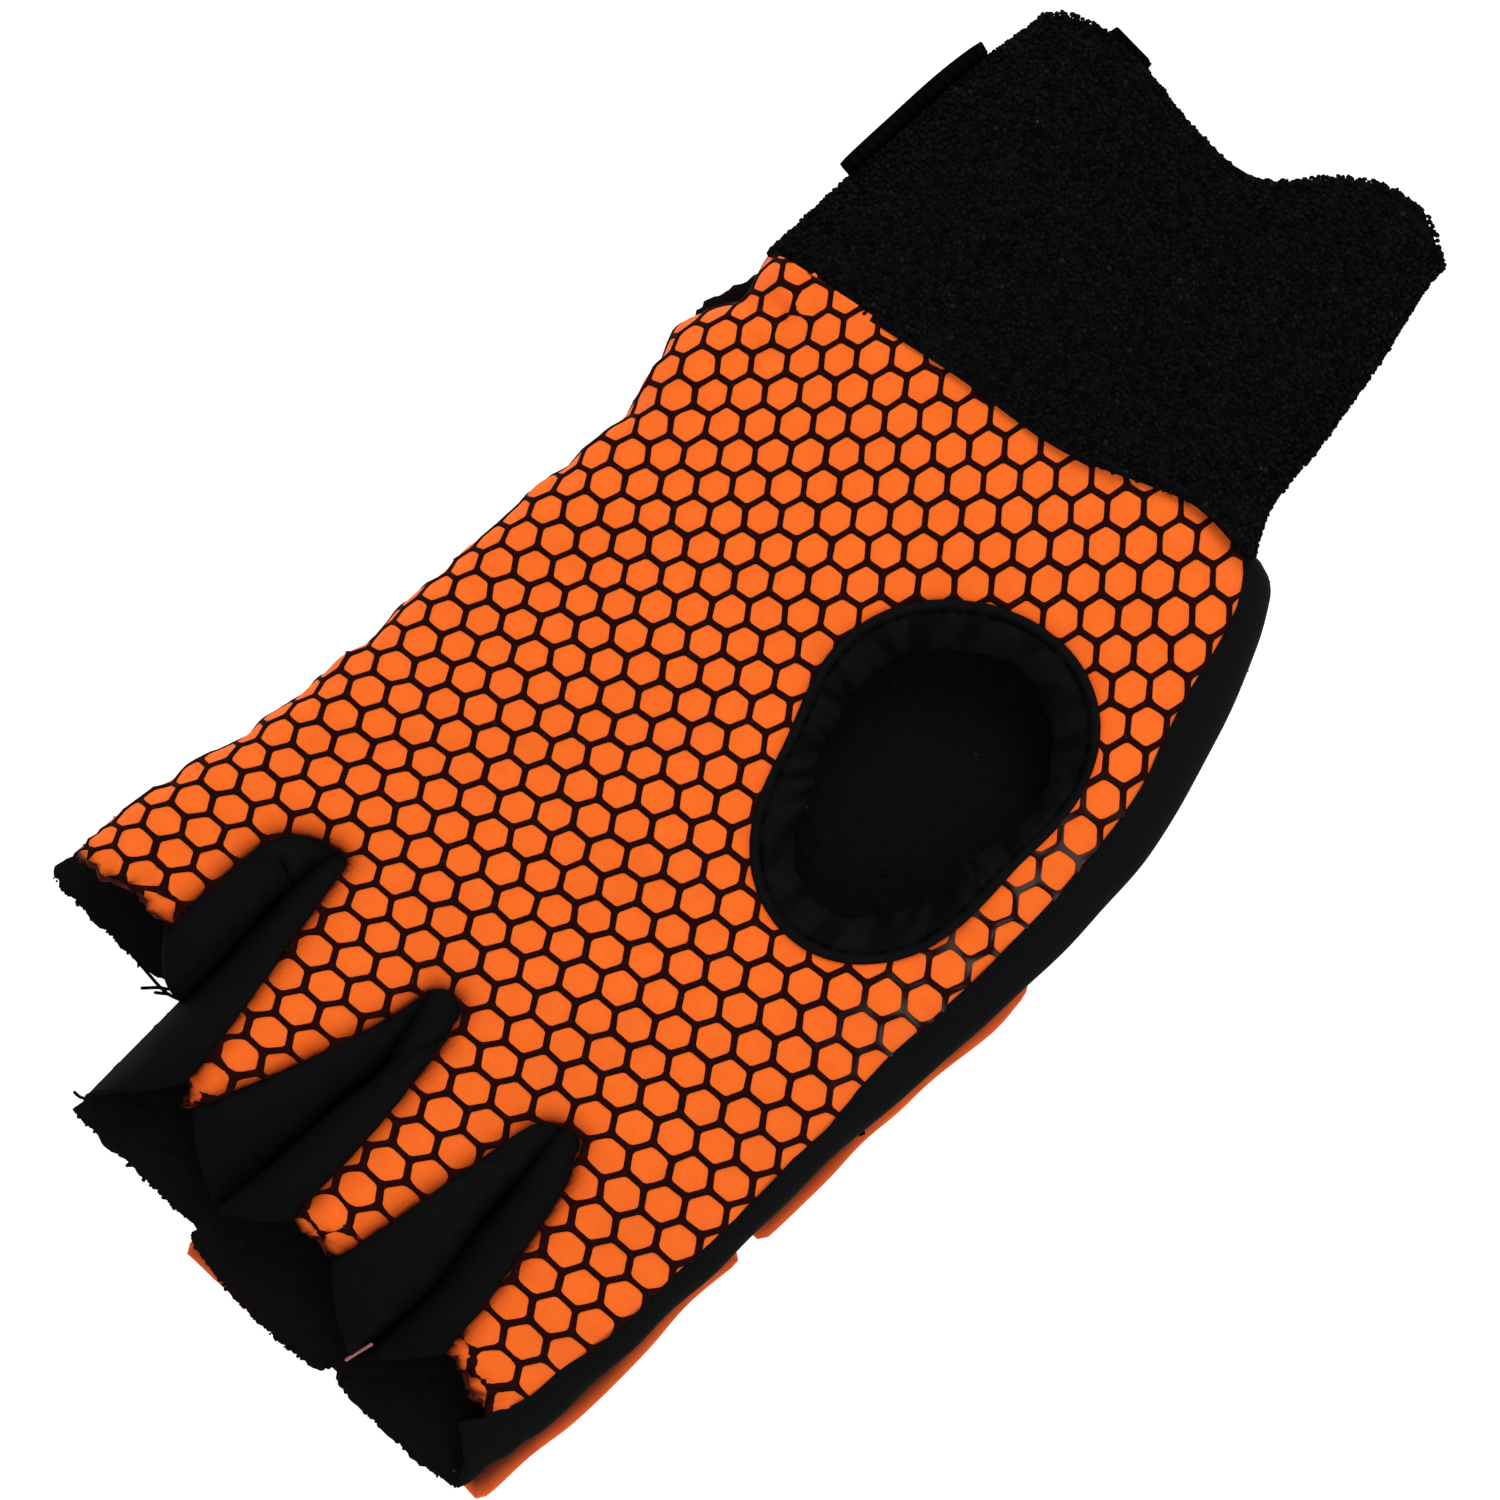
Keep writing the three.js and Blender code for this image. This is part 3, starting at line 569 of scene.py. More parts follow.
def make_fuzz_group():
    """The brushed pile of fleece, and the pale lint that black cloth catches."""
    numbers = {"Pile per mm": 1.6, "Lint per mm": 0.2}
    group, given, result = new_group("Fuzz and lint", "Place", numbers, ("Height", "Lint"))
    pile_place = scaled(group, given["Place"], given["Pile per mm"])
    look = {"Vector": pile_place, "Scale": 1.0, "Detail": 6.0, "Roughness": 0.7, "Distortion": 0.8}
    pile = add(group, "ShaderNodeTexNoise", look)
    lint_place = scaled(group, given["Place"], given["Lint per mm"])
    cells = add(group, "ShaderNodeTexVoronoi", {"Vector": lint_place, "Scale": 1.0}, feature="F1")
    specks = {"Value": cells.outputs["Distance"], "From Min": 0.035, "From Max": 0.02}
    speck = add(group, "ShaderNodeMapRange", specks)
    group.links.new(pile.outputs["Fac"], result["Height"])
    group.links.new(speck.outputs["Result"], result["Lint"])
    return group


GRAIN = make_grain_group()
FUZZ = make_fuzz_group()
print("groups:", GRAIN.name, "and", FUZZ.name)


# %% Material starter
def start_material(name, color, roughness, specular, sheen=0.0):
    material = bpy.data.materials.new(name)
    material.use_nodes = True
    shader = material.node_tree.nodes["Principled BSDF"]
    shader.inputs["Base Color"].default_value = (*color, 1)
    shader.inputs["Roughness"].default_value = roughness
    shader.inputs["Specular IOR Level"].default_value = specular
    shader.inputs["Sheen Weight"].default_value = sheen
    return material, material.node_tree, shader


def linear(*srgb):
    """A colour as the eye reads it, from 0 to 255, turned into the light that it reflects."""
    shares = [value / 255 for value in srgb]
    return tuple(s / 12.92 if s <= 0.04045 else ((s + 0.055) / 1.055) ** 2.4 for s in shares)


def add_bump(tree, shader, height, strength, distance_mm):
    feeds = {"Strength": strength, "Distance": distance_mm * MM, "Height": height}
    tree.links.new(add(tree, "ShaderNodeBump", feeds).outputs["Normal"], shader.inputs["Normal"])


def color_between(tree, shader, factor, low, high):
    """Colours a shader from low to high as the factor goes from 0 to 1. Low may be a socket."""
    if not isinstance(low, bpy.types.NodeSocket):
        low = (*low, 1)
    feeds = {"Factor": factor, MIX_LOW: low, MIX_HIGH: (*high, 1)}
    blend = add(tree, "ShaderNodeMix", feeds, data_type="RGBA", clamp_factor=True)
    tree.links.new(blend.outputs[MIX_RESULT], shader.inputs["Base Color"])


def cover_color(tree, shader, cover, factor):
    """Lays a second colour over the colour that a shader already reads."""
    color_between(tree, shader, factor, shader.inputs["Base Color"].links[0].from_socket, cover)


def mask(tree, name):
    """A value that is kept on a piece's points."""
    return add(tree, "ShaderNodeAttribute", attribute_name=name).outputs["Fac"]


def object_place_mm(tree):
    """The place on the glove in millimetres, for patterns that don't follow the cloth."""
    return scaled(tree, add(tree, "ShaderNodeTexCoord").outputs["Object"], 1 / MM)


def cloth_place(tree):
    return add(tree, "ShaderNodeUVMap", uv_map="Cloth").outputs["UV"]


def knit_grain(tree, place, rows_per_mm):
    return add(tree, "ShaderNodeGroup", {"Flat": place, "Rows per mm": rows_per_mm}, node_tree=GRAIN).outputs


def pile_fuzz(tree, **feeds):
    feeds = {label.replace("_", " "): value for label, value in feeds.items()}
    return add(tree, "ShaderNodeGroup", {"Place": object_place_mm(tree), **feeds}, node_tree=FUZZ).outputs


# %% [markdown]
# ### The cloths
# The orange knit reflects red strongly and hardly any blue, and painted shade darkens it where it
# dips into a seam. The print is rubber, so it is smoother than cloth, and its small grey glints
# are painted into its colour. The blacks get lower specular than usual, or a white studio turns them grey.

# %% Cloth materials
ORANGE, ORANGE_DEEP = linear(252, 112, 38), linear(232, 88, 24)
# The pad cloth's oranges are set darker than the palm's: painted shade, as the pads' edges lie under the
# gusset and the back
PAD_ORANGE_SHADED, PAD_ORANGE_SHADED_DEEP = linear(236, 98, 30), linear(206, 74, 18)
SEAM_SHADOW, PAD_SHADOW, NO_LIGHT = linear(62, 14, 5), linear(70, 22, 8), linear(3, 3, 3)
# The print's two greys are painted highlights: small glints all over, and brighter ones beside the index
# finger's seam
PRINT_BLACK, PRINT_GLINT_GREY, PRINT_STRETCH_GLINT = linear(34, 9, 7), linear(52, 30, 28), linear(92, 74, 72)
KNIT_BLACK, KNIT_BLACK_LIGHT = linear(11, 11, 11), linear(20, 20, 20)
RIB_BLACK, RIB_BLACK_LIGHT = linear(8, 8, 8), linear(17, 17, 17)
FLEECE_BLACK, FLEECE_BLACK_LIGHT = linear(10, 9, 10), linear(28, 24, 25)
TERRY_BLACK, TERRY_BLACK_LIGHT = linear(9, 9, 10), linear(23, 23, 24)
LOOP_DARK, LOOP_LIGHT = linear(8, 8, 9), linear(30, 30, 32)
WEBBING_BLACK, WEBBING_BLACK_LIGHT = linear(4, 4, 4), linear(11, 11, 11)
LINT_GREY, THREAD_BLACK, THREAD_PALE = linear(84, 82, 82), linear(6, 5, 5), linear(176, 112, 108)
CLOTH_SHEEN = 0.004


def make_palm_cloth():
    material, tree, shader = start_material("Orange knit", ORANGE, 0.7, 0.05)
    grain = knit_grain(tree, cloth_place(tree), 2.6)
    # The mottle is the knit's own uneven tone; the seam mask adds painted shade where the cloth dips into a
    # seam
    shade = math_node(tree, "MULTIPLY_ADD", grain["Mottle"], 0.75, mask(tree, "Seam"), use_clamp=True)
    lowered = math_node(tree, "SUBTRACT", shade, 0.28, use_clamp=True)
    color_between(tree, shader, lowered, ORANGE, ORANGE_DEEP)
    cover_color(tree, shader, SEAM_SHADOW, mask(tree, "Edge"))
    add_bump(tree, shader, grain["Height"], 0.35, 0.08)
    return material


def make_print_rubber():
    material, tree, shader = start_material("Black print", PRINT_BLACK, 0.6, 0.012)
    feeds = {"Vector": object_place_mm(tree), "Scale": 1.4, "Detail": 5.0}
    cloud = add(tree, "ShaderNodeTexNoise", feeds).outputs["Fac"]
    # Painted highlight: small grey glints in spots over the rubber
    glint_spots = add(tree, "ShaderNodeMapRange", {"Value": cloud, "From Min": 0.6, "From Max": 0.78})
    rough = add(tree, "ShaderNodeMapRange", {"Value": cloud, "To Min": 0.5, "To Max": 0.8})
    color_between(tree, shader, glint_spots.outputs["Result"], PRINT_BLACK, PRINT_GLINT_GREY)
    # Painted highlight: grey glints on the stretched print beside the index finger's seam
    cover_color(tree, shader, PRINT_STRETCH_GLINT, mask(tree, "Glint"))
    tree.links.new(rough.outputs["Result"], shader.inputs["Roughness"])
    add_bump(tree, shader, cloud, 0.3, 0.05)
    return material


def make_black_knit(name, rows_per_mm, rib_scale=0.0):
    """Smooth stretch knit. With ribs it is the gusset's tape, ribbed across its length."""
    material, tree, shader = start_material(name, KNIT_BLACK, 0.8, 0.02, CLOTH_SHEEN)
    grain = knit_grain(tree, cloth_place(tree), rows_per_mm)
    height = grain["Height"]
    if rib_scale:
        rib = bands(tree, cloth_place(tree), "Y", rib_scale, 2.2, detail_scale=0.6)
        height = math_node(tree, "MULTIPLY_ADD", rib, 2.0, height)
        color_between(tree, shader, height, RIB_BLACK, RIB_BLACK_LIGHT)
    else:
        color_between(tree, shader, grain["Mottle"], KNIT_BLACK, KNIT_BLACK_LIGHT)
    cover_color(tree, shader, NO_LIGHT, mask(tree, "Shade"))
    add_bump(tree, shader, height, 0.5, 0.1)
    return material


def make_pile(name, dark, light, pile_per_mm, lint_per_mm, bump_mm):
    material, tree, shader = start_material(name, dark, 0.95, 0.0, CLOTH_SHEEN)
    fuzz = pile_fuzz(tree, Pile_per_mm=pile_per_mm, Lint_per_mm=lint_per_mm)
    color_between(tree, shader, fuzz["Height"], dark, light)
    cover_color(tree, shader, LINT_GREY, fuzz["Lint"])
    add_bump(tree, shader, fuzz["Height"], 0.8, bump_mm)
    return material


def make_loop_yarn():
    """Looped yarn, each loop with its own tone."""
    material, tree, shader = start_material("Black yarn", LOOP_DARK, 0.95, 0.0, CLOTH_SHEEN)
    color_between(tree, shader, mask(tree, "Tone"), LOOP_DARK, LOOP_LIGHT)
    add_bump(tree, shader, pile_fuzz(tree, Pile_per_mm=4.0)["Height"], 0.8, 0.15)
    return material


def make_pad_cloth():
    material, tree, shader = start_material("Orange pad cloth", PAD_ORANGE_SHADED, 0.66, 0.15)
    grain = knit_grain(tree, object_place_mm(tree), 2.2)
    color_between(tree, shader, grain["Mottle"], PAD_ORANGE_SHADED, PAD_ORANGE_SHADED_DEEP)
    cover_color(tree, shader, PAD_SHADOW, mask(tree, "Shade"))
    add_bump(tree, shader, grain["Height"], 0.4, 0.1)
    return material


def make_webbing():
    material, tree, shader = start_material("Black webbing", KNIT_BLACK, 0.9, 0.0)
    rib = bands(tree, cloth_place(tree), "DIAGONAL", 0.4, 0.6, profile="TRI")
    color_between(tree, shader, rib, WEBBING_BLACK, WEBBING_BLACK_LIGHT)
    add_bump(tree, shader, rib, 0.3, 0.1)
    return material


PALM_CLOTH = make_palm_cloth()
PRINT_RUBBER = make_print_rubber()
SMOOTH_KNIT = make_black_knit("Black stretch knit", 2.4)
RIBBED_KNIT = make_black_knit("Black ribbed knit", 2.0, rib_scale=1.6 * 0.314)
FLEECE = make_pile("Black fleece", FLEECE_BLACK, FLEECE_BLACK_LIGHT, 1.5, 0.14, 0.5)
TERRY = make_pile("Black terry", TERRY_BLACK, TERRY_BLACK_LIGHT, 2.4, 0.16, 0.2)
LOOP_YARN = make_loop_yarn()
PAD_CLOTH = make_pad_cloth()
WEBBING = make_webbing()
THREAD = start_material("Black thread", THREAD_BLACK, 0.8, 0.0)[0]
PALE_THREAD = start_material("Pale thread", THREAD_PALE, 0.8, 0.0)[0]
print("materials:", len(bpy.data.materials))


# %% Finishing a piece
def dress(piece, material, slot, *nodes):
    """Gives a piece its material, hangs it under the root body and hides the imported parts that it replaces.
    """
    if not piece.data.materials:
        piece.data.materials.append(material)
    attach(piece, "root")
    if nodes:
        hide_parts(*nodes)


def finish_sheet(piece, thickness_mm, material, slot, node):
    """Measures, thickens and dresses a sheet, and gives the area of its cloth."""
    area = sheet_area(piece)
    thicken(piece, thickness_mm)
    dress(piece, material, slot, node)
    print(piece.name, "in square cm:", in_square_cm(area), "faces:", len(piece.data.polygons))
    return area


# %% [markdown]
# ## The palm
# The palm and the four finger fronts are one sheet. It is cut out along the gaps between the
# fingers and round the thumb hole, and it turns down round the little finger's side to meet the
# back. Seamed edges curve down by a millimetre or so, while the raw edges at the fingertips
# crumple, so the function below treats the two kinds of edge differently.

# %% The palm's pattern edge
PALM_ROLL = 6.5
ROLL_INSET = 0.6
ROLL_TURN = math.radians(150)
ROLL_OVER_BACK = 0.8
SIDE_STEPS, TIP_STEPS, CROTCH_STEPS, HOLE_STEPS = 14, 22, 12, 120
TIP_FRAY = {"index": 0.525, "middle": 0.385, "pinky": 0.42}
# The ring finger's front ends in a nearly torn-off piece behind its last cell
RING_TIP = [(17.0, 94.6), (17.9, 95.0), (17.5, 96.0), (18.3, 97.1), (19.3, 96.4), (18.8, 95.2), (19.5, 94.6)]
UNDER_CUFF = 1.2
HOLE_LAP = 0.5


def palm_edges():
    """The palm's outline as edges, each labelled as a seam, a raw tip or an edge that is hidden."""
    rng = np.random.default_rng(11)
    path, kinds = [], []

    def go(points, kind):
        for point in points:
            path.append(point)
            kinds.append(kind)

    x = np.linspace(80, -60, 60)
    go(np.c_[x, read_table(CUFF_SEAM, x) - UNDER_CUFF], "hidden")
    for i, name in enumerate(FINGER_ORDER):
        finger = FINGERS[name]
        left = np.c_[finger_side(finger["left"], np.linspace(0, 1, SIDE_STEPS))]
        right = np.c_[finger_side(finger["right"], np.linspace(1, 0, SIDE_STEPS))]
        go(left[:-1], "hidden" if name == "index" else "seam")
        go(left[-1:], "tip")
        if name == "ring":
            go(RING_TIP, "tip")
        else:
            t = np.linspace(0, 1, TIP_STEPS)[1:-1]
            tip = mix(left[-1], right[0], t[:, None])
            tip[:, 1] += rng.normal(0, TIP_FRAY[name], TIP_STEPS - 2)
            go(tip, "tip")
        go(right[:-1], "hidden" if name == "pinky" else "seam")
        if i + 1 < len(FINGER_ORDER):
            after = FINGERS[FINGER_ORDER[i + 1]]
            go(crotch_curve(finger, after, np.linspace(0, 1, CROTCH_STEPS))[0][:-1], "seam")
    hole = np.c_[hole_edge(np.linspace(0, 1, HOLE_STEPS, endpoint=False), HOLE_LAP)]
    return np.concatenate([closed(np.array(path)), closed(hole)]), kinds + ["hole"] * len(hole)


PALM_EDGES, PALM_KINDS = palm_edges()
print("palm outline edges:", len(PALM_KINDS))

# %% The palm's surface
STALL_DIP = 2.2
STALL_DIP_WIDTH = 7.0
SEAM_SLOPE_WIDTH = 24.0
SEAM_TURN_DOWN = 1.7
SIDE_SEAM_GAP = 0.3
SEAM_TURN_WIDTH = 1.5
HOLE_TURN_DOWN = 0.9
NORMAL_STEP = 0.12
HOLE_TURN_WIDTH = 2.6
WRIST_DROP = 4.6
BACK_MIDDLE = BACK_TOP - BACK_THICKNESS / 2
CRUMPLE_REACH = 2.8
CRUMPLE = 0.95
CRUMPLE_LIFT = 0.1
CRUMPLE_SHIFT_REACH = 2.2
EDGE_SHADOW = 0.8
LIP_SHARE, LIP_AT = 0.45, 2.1   # a crease's raised lip: its share of the depth, and its place in widths
# Soft folds in the palm: from one point to another, how wide and how deep
PALM_FOLDS = [
    ((43.2, -37.6), (38.0, -40.6), 1.5, 1.7),
    ((40.4, -42.4), (35.2, -25.0), 2.6, 0.6),
    ((-46.0, -52.0), (-30.0, -56.0), 3.0, 0.3),
    ((30.0, 40.0), (46.0, 52.0), 4.0, 0.35),
    ((-40.0, 70.0), (-30.0, 90.0), 3.0, 0.35),
]


def roll_start(y):
    """Where the palm's cloth starts to turn down on the little finger's side."""
    return outer_side(y, "palm") - ROLL_INSET - PALM_ROLL


def cloth_end(y):
    return roll_start(y) + PALM_ROLL * ROLL_TURN


def back_height(y):
    """The middle of the back's thickness, which comes down towards the wrist."""
    return mix(WRIST_DROP, BACK_MIDDLE, smooth_step(y, -58, -4))


def palm_height(x, y):
    """The palm's broad form: domed, lower at the gusset's seam and between the stalls."""
    crown = section(y, "crown")
    from_seam = np.clip((x - section(y, "seam")) / SEAM_SLOPE_WIDTH, 0, 1)
    seam_drop = (crown - section(y, "seam_height")) * (1 - from_seam) ** 2
    dip = sum(STALL_DIP * np.exp(-(((x - fold) / STALL_DIP_WIDTH) ** 2)) for fold in FOLDS.values())
    return crown - seam_drop - dip * smooth_step(y, 52, 74)


def crease_depth(x, y, crease):
    """How deep a crease is at points: deepest along its line, with a raised lip on both sides."""
    (x0, y0), (x1, y1), width, depth = crease
    length2 = (x1 - x0) ** 2 + (y1 - y0) ** 2
    t = np.clip(((x - x0) * (x1 - x0) + (y - y0) * (y1 - y0)) / length2, 0, 1)
    away = np.hypot(x - mix(x0, x1, t), y - mix(y0, y1, t)) / width
    return depth * (np.exp(-(away ** 2)) - LIP_SHARE * np.exp(-((away - LIP_AT) ** 2)))


def palm_relief(x, y, near):
    """Small dents and waves, seams that turn down and raw tips that crumple."""
    seam = np.minimum(near["seam"], np.maximum(x - section(y, "seam"), 0) + SIDE_SEAM_GAP)
    relief = -SEAM_TURN_DOWN * np.exp(-seam / SEAM_TURN_WIDTH)
    relief -= HOLE_TURN_DOWN * np.exp(-near["hole"] / HOLE_TURN_WIDTH)
    relief += hills("palm", x, y) + hills("palm ripple", x, y)
    crumple = CRUMPLE * np.exp(-near["tip"] / CRUMPLE_REACH)
    relief += crumple * (hills("tip crumple", x, y) + hills("tip wrinkle", x, y) + CRUMPLE_LIFT)
    return relief - sum(crease_depth(x, y, fold) for fold in PALM_FOLDS)


def palm_place(p, y, near):
    """A point of the palm in millimetres. p runs across the cloth from the gusset's seam, and
    past the place where the cloth turns down it goes on round the little finger's side."""
    start = roll_start(y)
    flat_x = np.minimum(p, start)
    turn = np.clip((p - start) / PALM_ROLL, 0, ROLL_TURN)
    top = palm_height(flat_x, y)
    low = back_height(y) + BACK_THICKNESS / 2 + ROLL_OVER_BACK
    half = (palm_height(start, y) - low) / 2
    relief = palm_relief(flat_x, y, near) * np.clip(1 - turn, 0, 1)
    waves = hills("turned side", p, y) * smooth_step(turn, 0.4, 1.4)
    x = flat_x + (PALM_ROLL + waves) * np.sin(turn)
    z = top + relief - half * (1 - np.cos(turn))
    crumple = np.exp(-near["tip"] / CRUMPLE_SHIFT_REACH)
    x = x + crumple * hills("tip across", p, y)
    return np.stack([x, y + crumple * hills("tip along", p, y), z], axis=-1)


def palm_with_normals(p, y):
    """Points of the palm and the directions that point out of its cloth there."""
    step = NORMAL_STEP
    moves = []
    for direction in ((step, 0.0), (0.0, step)):
        ahead, _, _ = edge_distances(np.c_[p, y] + direction, PALM_EDGES, PALM_KINDS)
        moves.append(np.where(ahead, 1.0, -1.0)[:, None] * direction)
    spots = [np.c_[p, y], np.c_[p, y] + moves[0], np.c_[p, y] + moves[1]]
    here, across, along = (
        palm_place(spot[:, 0], spot[:, 1], edge_distances(spot, PALM_EDGES, PALM_KINDS)[2]) for spot in spots
    )
    normal = np.cross(across - here, along - here) * np.sign(moves[0][:, :1] * moves[1][:, 1:])
    return here, normal / np.linalg.norm(normal, axis=1, keepdims=True)


# %% Make the palm
PALM_COLUMNS, PALM_ROWS = 132, 190
PALM_LENGTH = (-66.0, 99.5)
# How far the painted shade by a seam and an edge's shadow reach, where the hole and the raw tips count for
# less
SEAM_SHADE_REACH, HOLE_FADE, TIP_FADE = 1.2, 1.4, 1.3
GUSSET_SHADOW, GUSSET_SHADOW_REACH = 0.75, (0.9, 0.2)
PALM_THICKNESS = 1.0


def make_palm():
    bm, u, v = grid_mesh(PALM_COLUMNS, PALM_ROWS)
    y = mix(*PALM_LENGTH, v)
    p = mix(section(y, "seam"), cloth_end(y), u)
    flat = np.c_[p, y]
    inside, nearest, _ = edge_distances(flat, PALM_EDGES, PALM_KINDS)
    flat, _ = trim(bm, flat, inside, nearest)
    _, _, near = edge_distances(flat, PALM_EDGES, PALM_KINDS)
    piece = lay("palm", bm, palm_place(flat[:, 0], flat[:, 1], near), flat)
    # Painted shade: the orange darkens towards the seams and the hole, where the cloth dips
    set_mask(piece, "Seam", np.exp(-np.minimum(near["seam"], near["hole"] * HOLE_FADE) / SEAM_SHADE_REACH))
    to_edge = np.minimum(near["seam"], near["tip"] * TIP_FADE)
    at_gusset = smooth_step(flat[:, 0] - section(flat[:, 1], "seam"), *GUSSET_SHADOW_REACH)
    set_mask(piece, "Edge", np.maximum(np.exp(-to_edge / EDGE_SHADOW), GUSSET_SHADOW * at_gusset))
    return piece


palm = make_palm()
palm_area = finish_sheet(palm, PALM_THICKNESS, PALM_CLOTH, "printed_palm", "palm_panel")

# %% [markdown]
# ## The honeycomb print
# The print is rubber laid on flat cloth as an even honeycomb, which stretches and bends a little
# as the glove is sewn. It could be painted with a texture, but it stands a quarter of a
# millimetre proud, so each cell is a ring of faces: it follows the middle of the line round the
# cell and comes down to the cloth at a rounded hexagon inside. Neighbouring rings share points.

# %% Lay out the honeycomb
PRINT_CENTRE = complex(-8.36, 39.81)      # the middle of one cell on the palm, in mm
PRINT_STEP = complex(4.513, 3.036)        # from one cell to the next
PRINT_STRETCH = complex(0.125, 0.139)   # how the cloth is pulled out of square
PRINT_BEND = complex(-0.002, -0.0264)   # how the rows curve along the hand
PRINT_FAN = complex(0.0095, 0.0126)     # how the cells grow towards the thumb
PRINT_LEAN = complex(0.006, -0.002)
PRINT_WIDTH = 1.06
PRINT_RISE = 0.26
EDGE_RISE = 0.5      # the cloth bends most sharply at its edges, so the print stands higher there
CELL_ROUNDING = 0.055
CORNER_PULL = 0.42
LATTICE_REACH = 32
PRINT_AREA = ((-56, 66), (-70, 104))     # cells outside this can't touch the palm
CELL_LIMITS = (3.2, 7.5)                 # cells that the bend makes smaller or larger are left out
TIP_RISE_REACH, SEAM_RISE_REACH = 2.0, 1.2
# Painted grey glints on the stretched print beside the index finger's seam: how much, from where to where,
# and its ends
GLINT, GLINT_REACH, GLINT_START, GLINT_STOP = 0.8, (11, 2), (-30, -8), (34, 14)


def print_place(cell):
    """Where a place on the even honeycomb comes to lie on the palm, both as complex numbers."""
    mirror = np.conj(cell)
    bent = PRINT_BEND * cell ** 2 + PRINT_LEAN * cell * mirror + PRINT_FAN * mirror ** 2
    return PRINT_CENTRE + PRINT_STEP * cell + PRINT_STRETCH * mirror + bent


def unit(angle):
    return complex(math.cos(angle), math.sin(angle))


def hexagon_loop(apothem, rounding):
    """Three points for each corner of a hexagon about the origin, as complex numbers."""
    side = apothem * 2 / math.sqrt(3)
    reach = rounding or side / 3
    pull = CORNER_PULL if rounding else 0.0
    points = []
    for k in range(6):
        angle = math.pi / 6 + k * math.pi / 3
        corner = side * unit(angle)
        back, ahead = unit(angle - math.pi * 2 / 3), unit(angle + math.pi * 2 / 3)
        points += [corner + back * reach, corner - unit(angle) * reach * pull, corner + ahead * reach]
    return np.array(points)


def make_cell():
    """One cell's ring of the print: three loops of eighteen points, bridged."""
    half = PRINT_WIDTH / abs(PRINT_STEP) / 2
    loops = [
        (hexagon_loop(0.5, 0), 1.0),
        (hexagon_loop(0.5 - half * 0.62, CELL_ROUNDING * 0.8), 0.86),
        (hexagon_loop(0.5 - half, CELL_ROUNDING), -0.35),
    ]
    bm = bmesh.new()
    rings = []
    for points, height in loops:
        made = bmesh.ops.create_circle(bm, segments=len(points), radius=1.0)["verts"]
        for vertex, point in zip(made, points):
            vertex.co = (point.real, point.imag, height)
        rings.append({edge for vertex in made for edge in vertex.link_edges})
    bmesh.ops.bridge_loops(bm, edges=list(rings[0] | rings[1]))
    bmesh.ops.bridge_loops(bm, edges=list(rings[1] | rings[2]))
    bmesh.ops.recalc_face_normals(bm, faces=bm.faces)
    return bm


def lattice_cells():
    """The middles of all cells that may touch the palm."""
    steps = np.arange(-LATTICE_REACH, LATTICE_REACH)
    m, n = np.meshgrid(steps, steps)
    cells = (m + n * unit(math.pi / 3)).ravel()
    cells = cells[np.abs(cells) < LATTICE_REACH * 0.9]
    spot = print_place(cells)
    steps = np.abs(print_place(cells + 0.5) - print_place(cells - 0.5))
    limits = ((spot.real, PRINT_AREA[0]), (spot.imag, PRINT_AREA[1]), (steps, CELL_LIMITS))
    return cells[np.all([(value > low) & (value < high) for value, (low, high) in limits], axis=0)]


def make_print():
    cells = lattice_cells()
    bm, local = copies(make_cell(), len(cells))
    flat = (local[None, :, 0] + 1j * local[None, :, 1] + cells[:, None]).ravel()
    height = np.tile(local[:, 2], len(cells))
    x, y = flat.real, flat.imag
    wobble = hills("print across", x, y) + 1j * hills("print along", x, y)
    spot = print_place(flat + wobble)
    points = np.c_[spot.real, spot.imag]
    inside, nearest, _ = edge_distances(points, PALM_EDGES, PALM_KINDS)
    seam_x, end_x = section(points[:, 1], "seam"), cloth_end(points[:, 1])
    past_seam, past_end = points[:, 0] < seam_x, points[:, 0] > end_x
    for past, x in ((past_seam, seam_x), (past_end, end_x)):
        nearest = np.where((past & inside)[:, None], np.c_[x, points[:, 1]], nearest)
    inside &= ~past_seam & ~past_end
    flat_places, height = trim(bm, points, inside, nearest, height)
    surface, normals = palm_with_normals(flat_places[:, 0], flat_places[:, 1])
    _, _, near = edge_distances(flat_places, PALM_EDGES, PALM_KINDS)
    at_edge = np.maximum(np.exp(-near["tip"] / TIP_RISE_REACH), np.exp(-near["seam"] / SEAM_RISE_REACH))
    rise = PALM_THICKNESS / 2 + PRINT_RISE * (height + EDGE_RISE * at_edge)
    placed = surface + normals * rise[:, None]
    print("cells:", len(cells), "points in each:", len(local))
    for vertex, place in zip(bm.verts, placed):
        vertex.co = place * MM
    bmesh.ops.remove_doubles(bm, verts=bm.verts, dist=0.02 * MM)
    piece = new_object("honeycomb_print", bm)
    x, y = (np.array([vertex.co[:2] for vertex in piece.data.vertices]) / MM).T
    from_seam = x - section(y, "seam")
    along = smooth_step(y, *GLINT_START) * smooth_step(y, *GLINT_STOP)
    patchy = smooth_step(hills("print glint", x, y), -0.4, 0.8)
    # Painted highlight: the print turns grey in patches beside the index finger's seam
    set_mask(piece, "Glint", GLINT * smooth_step(from_seam, *GLINT_REACH) * along * patchy)
    return piece


honeycomb = make_print()
dress(honeycomb, PRINT_RUBBER, "printed_palm")
print("print faces:", len(honeycomb.data.polygons))

# %% [markdown]
# ## The thumb hole's binding
# A strip of stretch knit is sewn round the hole: a raised welt stands at the edge, and inside it
# the strip slopes down into the glove, drawn into soft gathers because its inner edge is shorter.
# The section is a closed loop of points, swept round the egg-shaped hole.

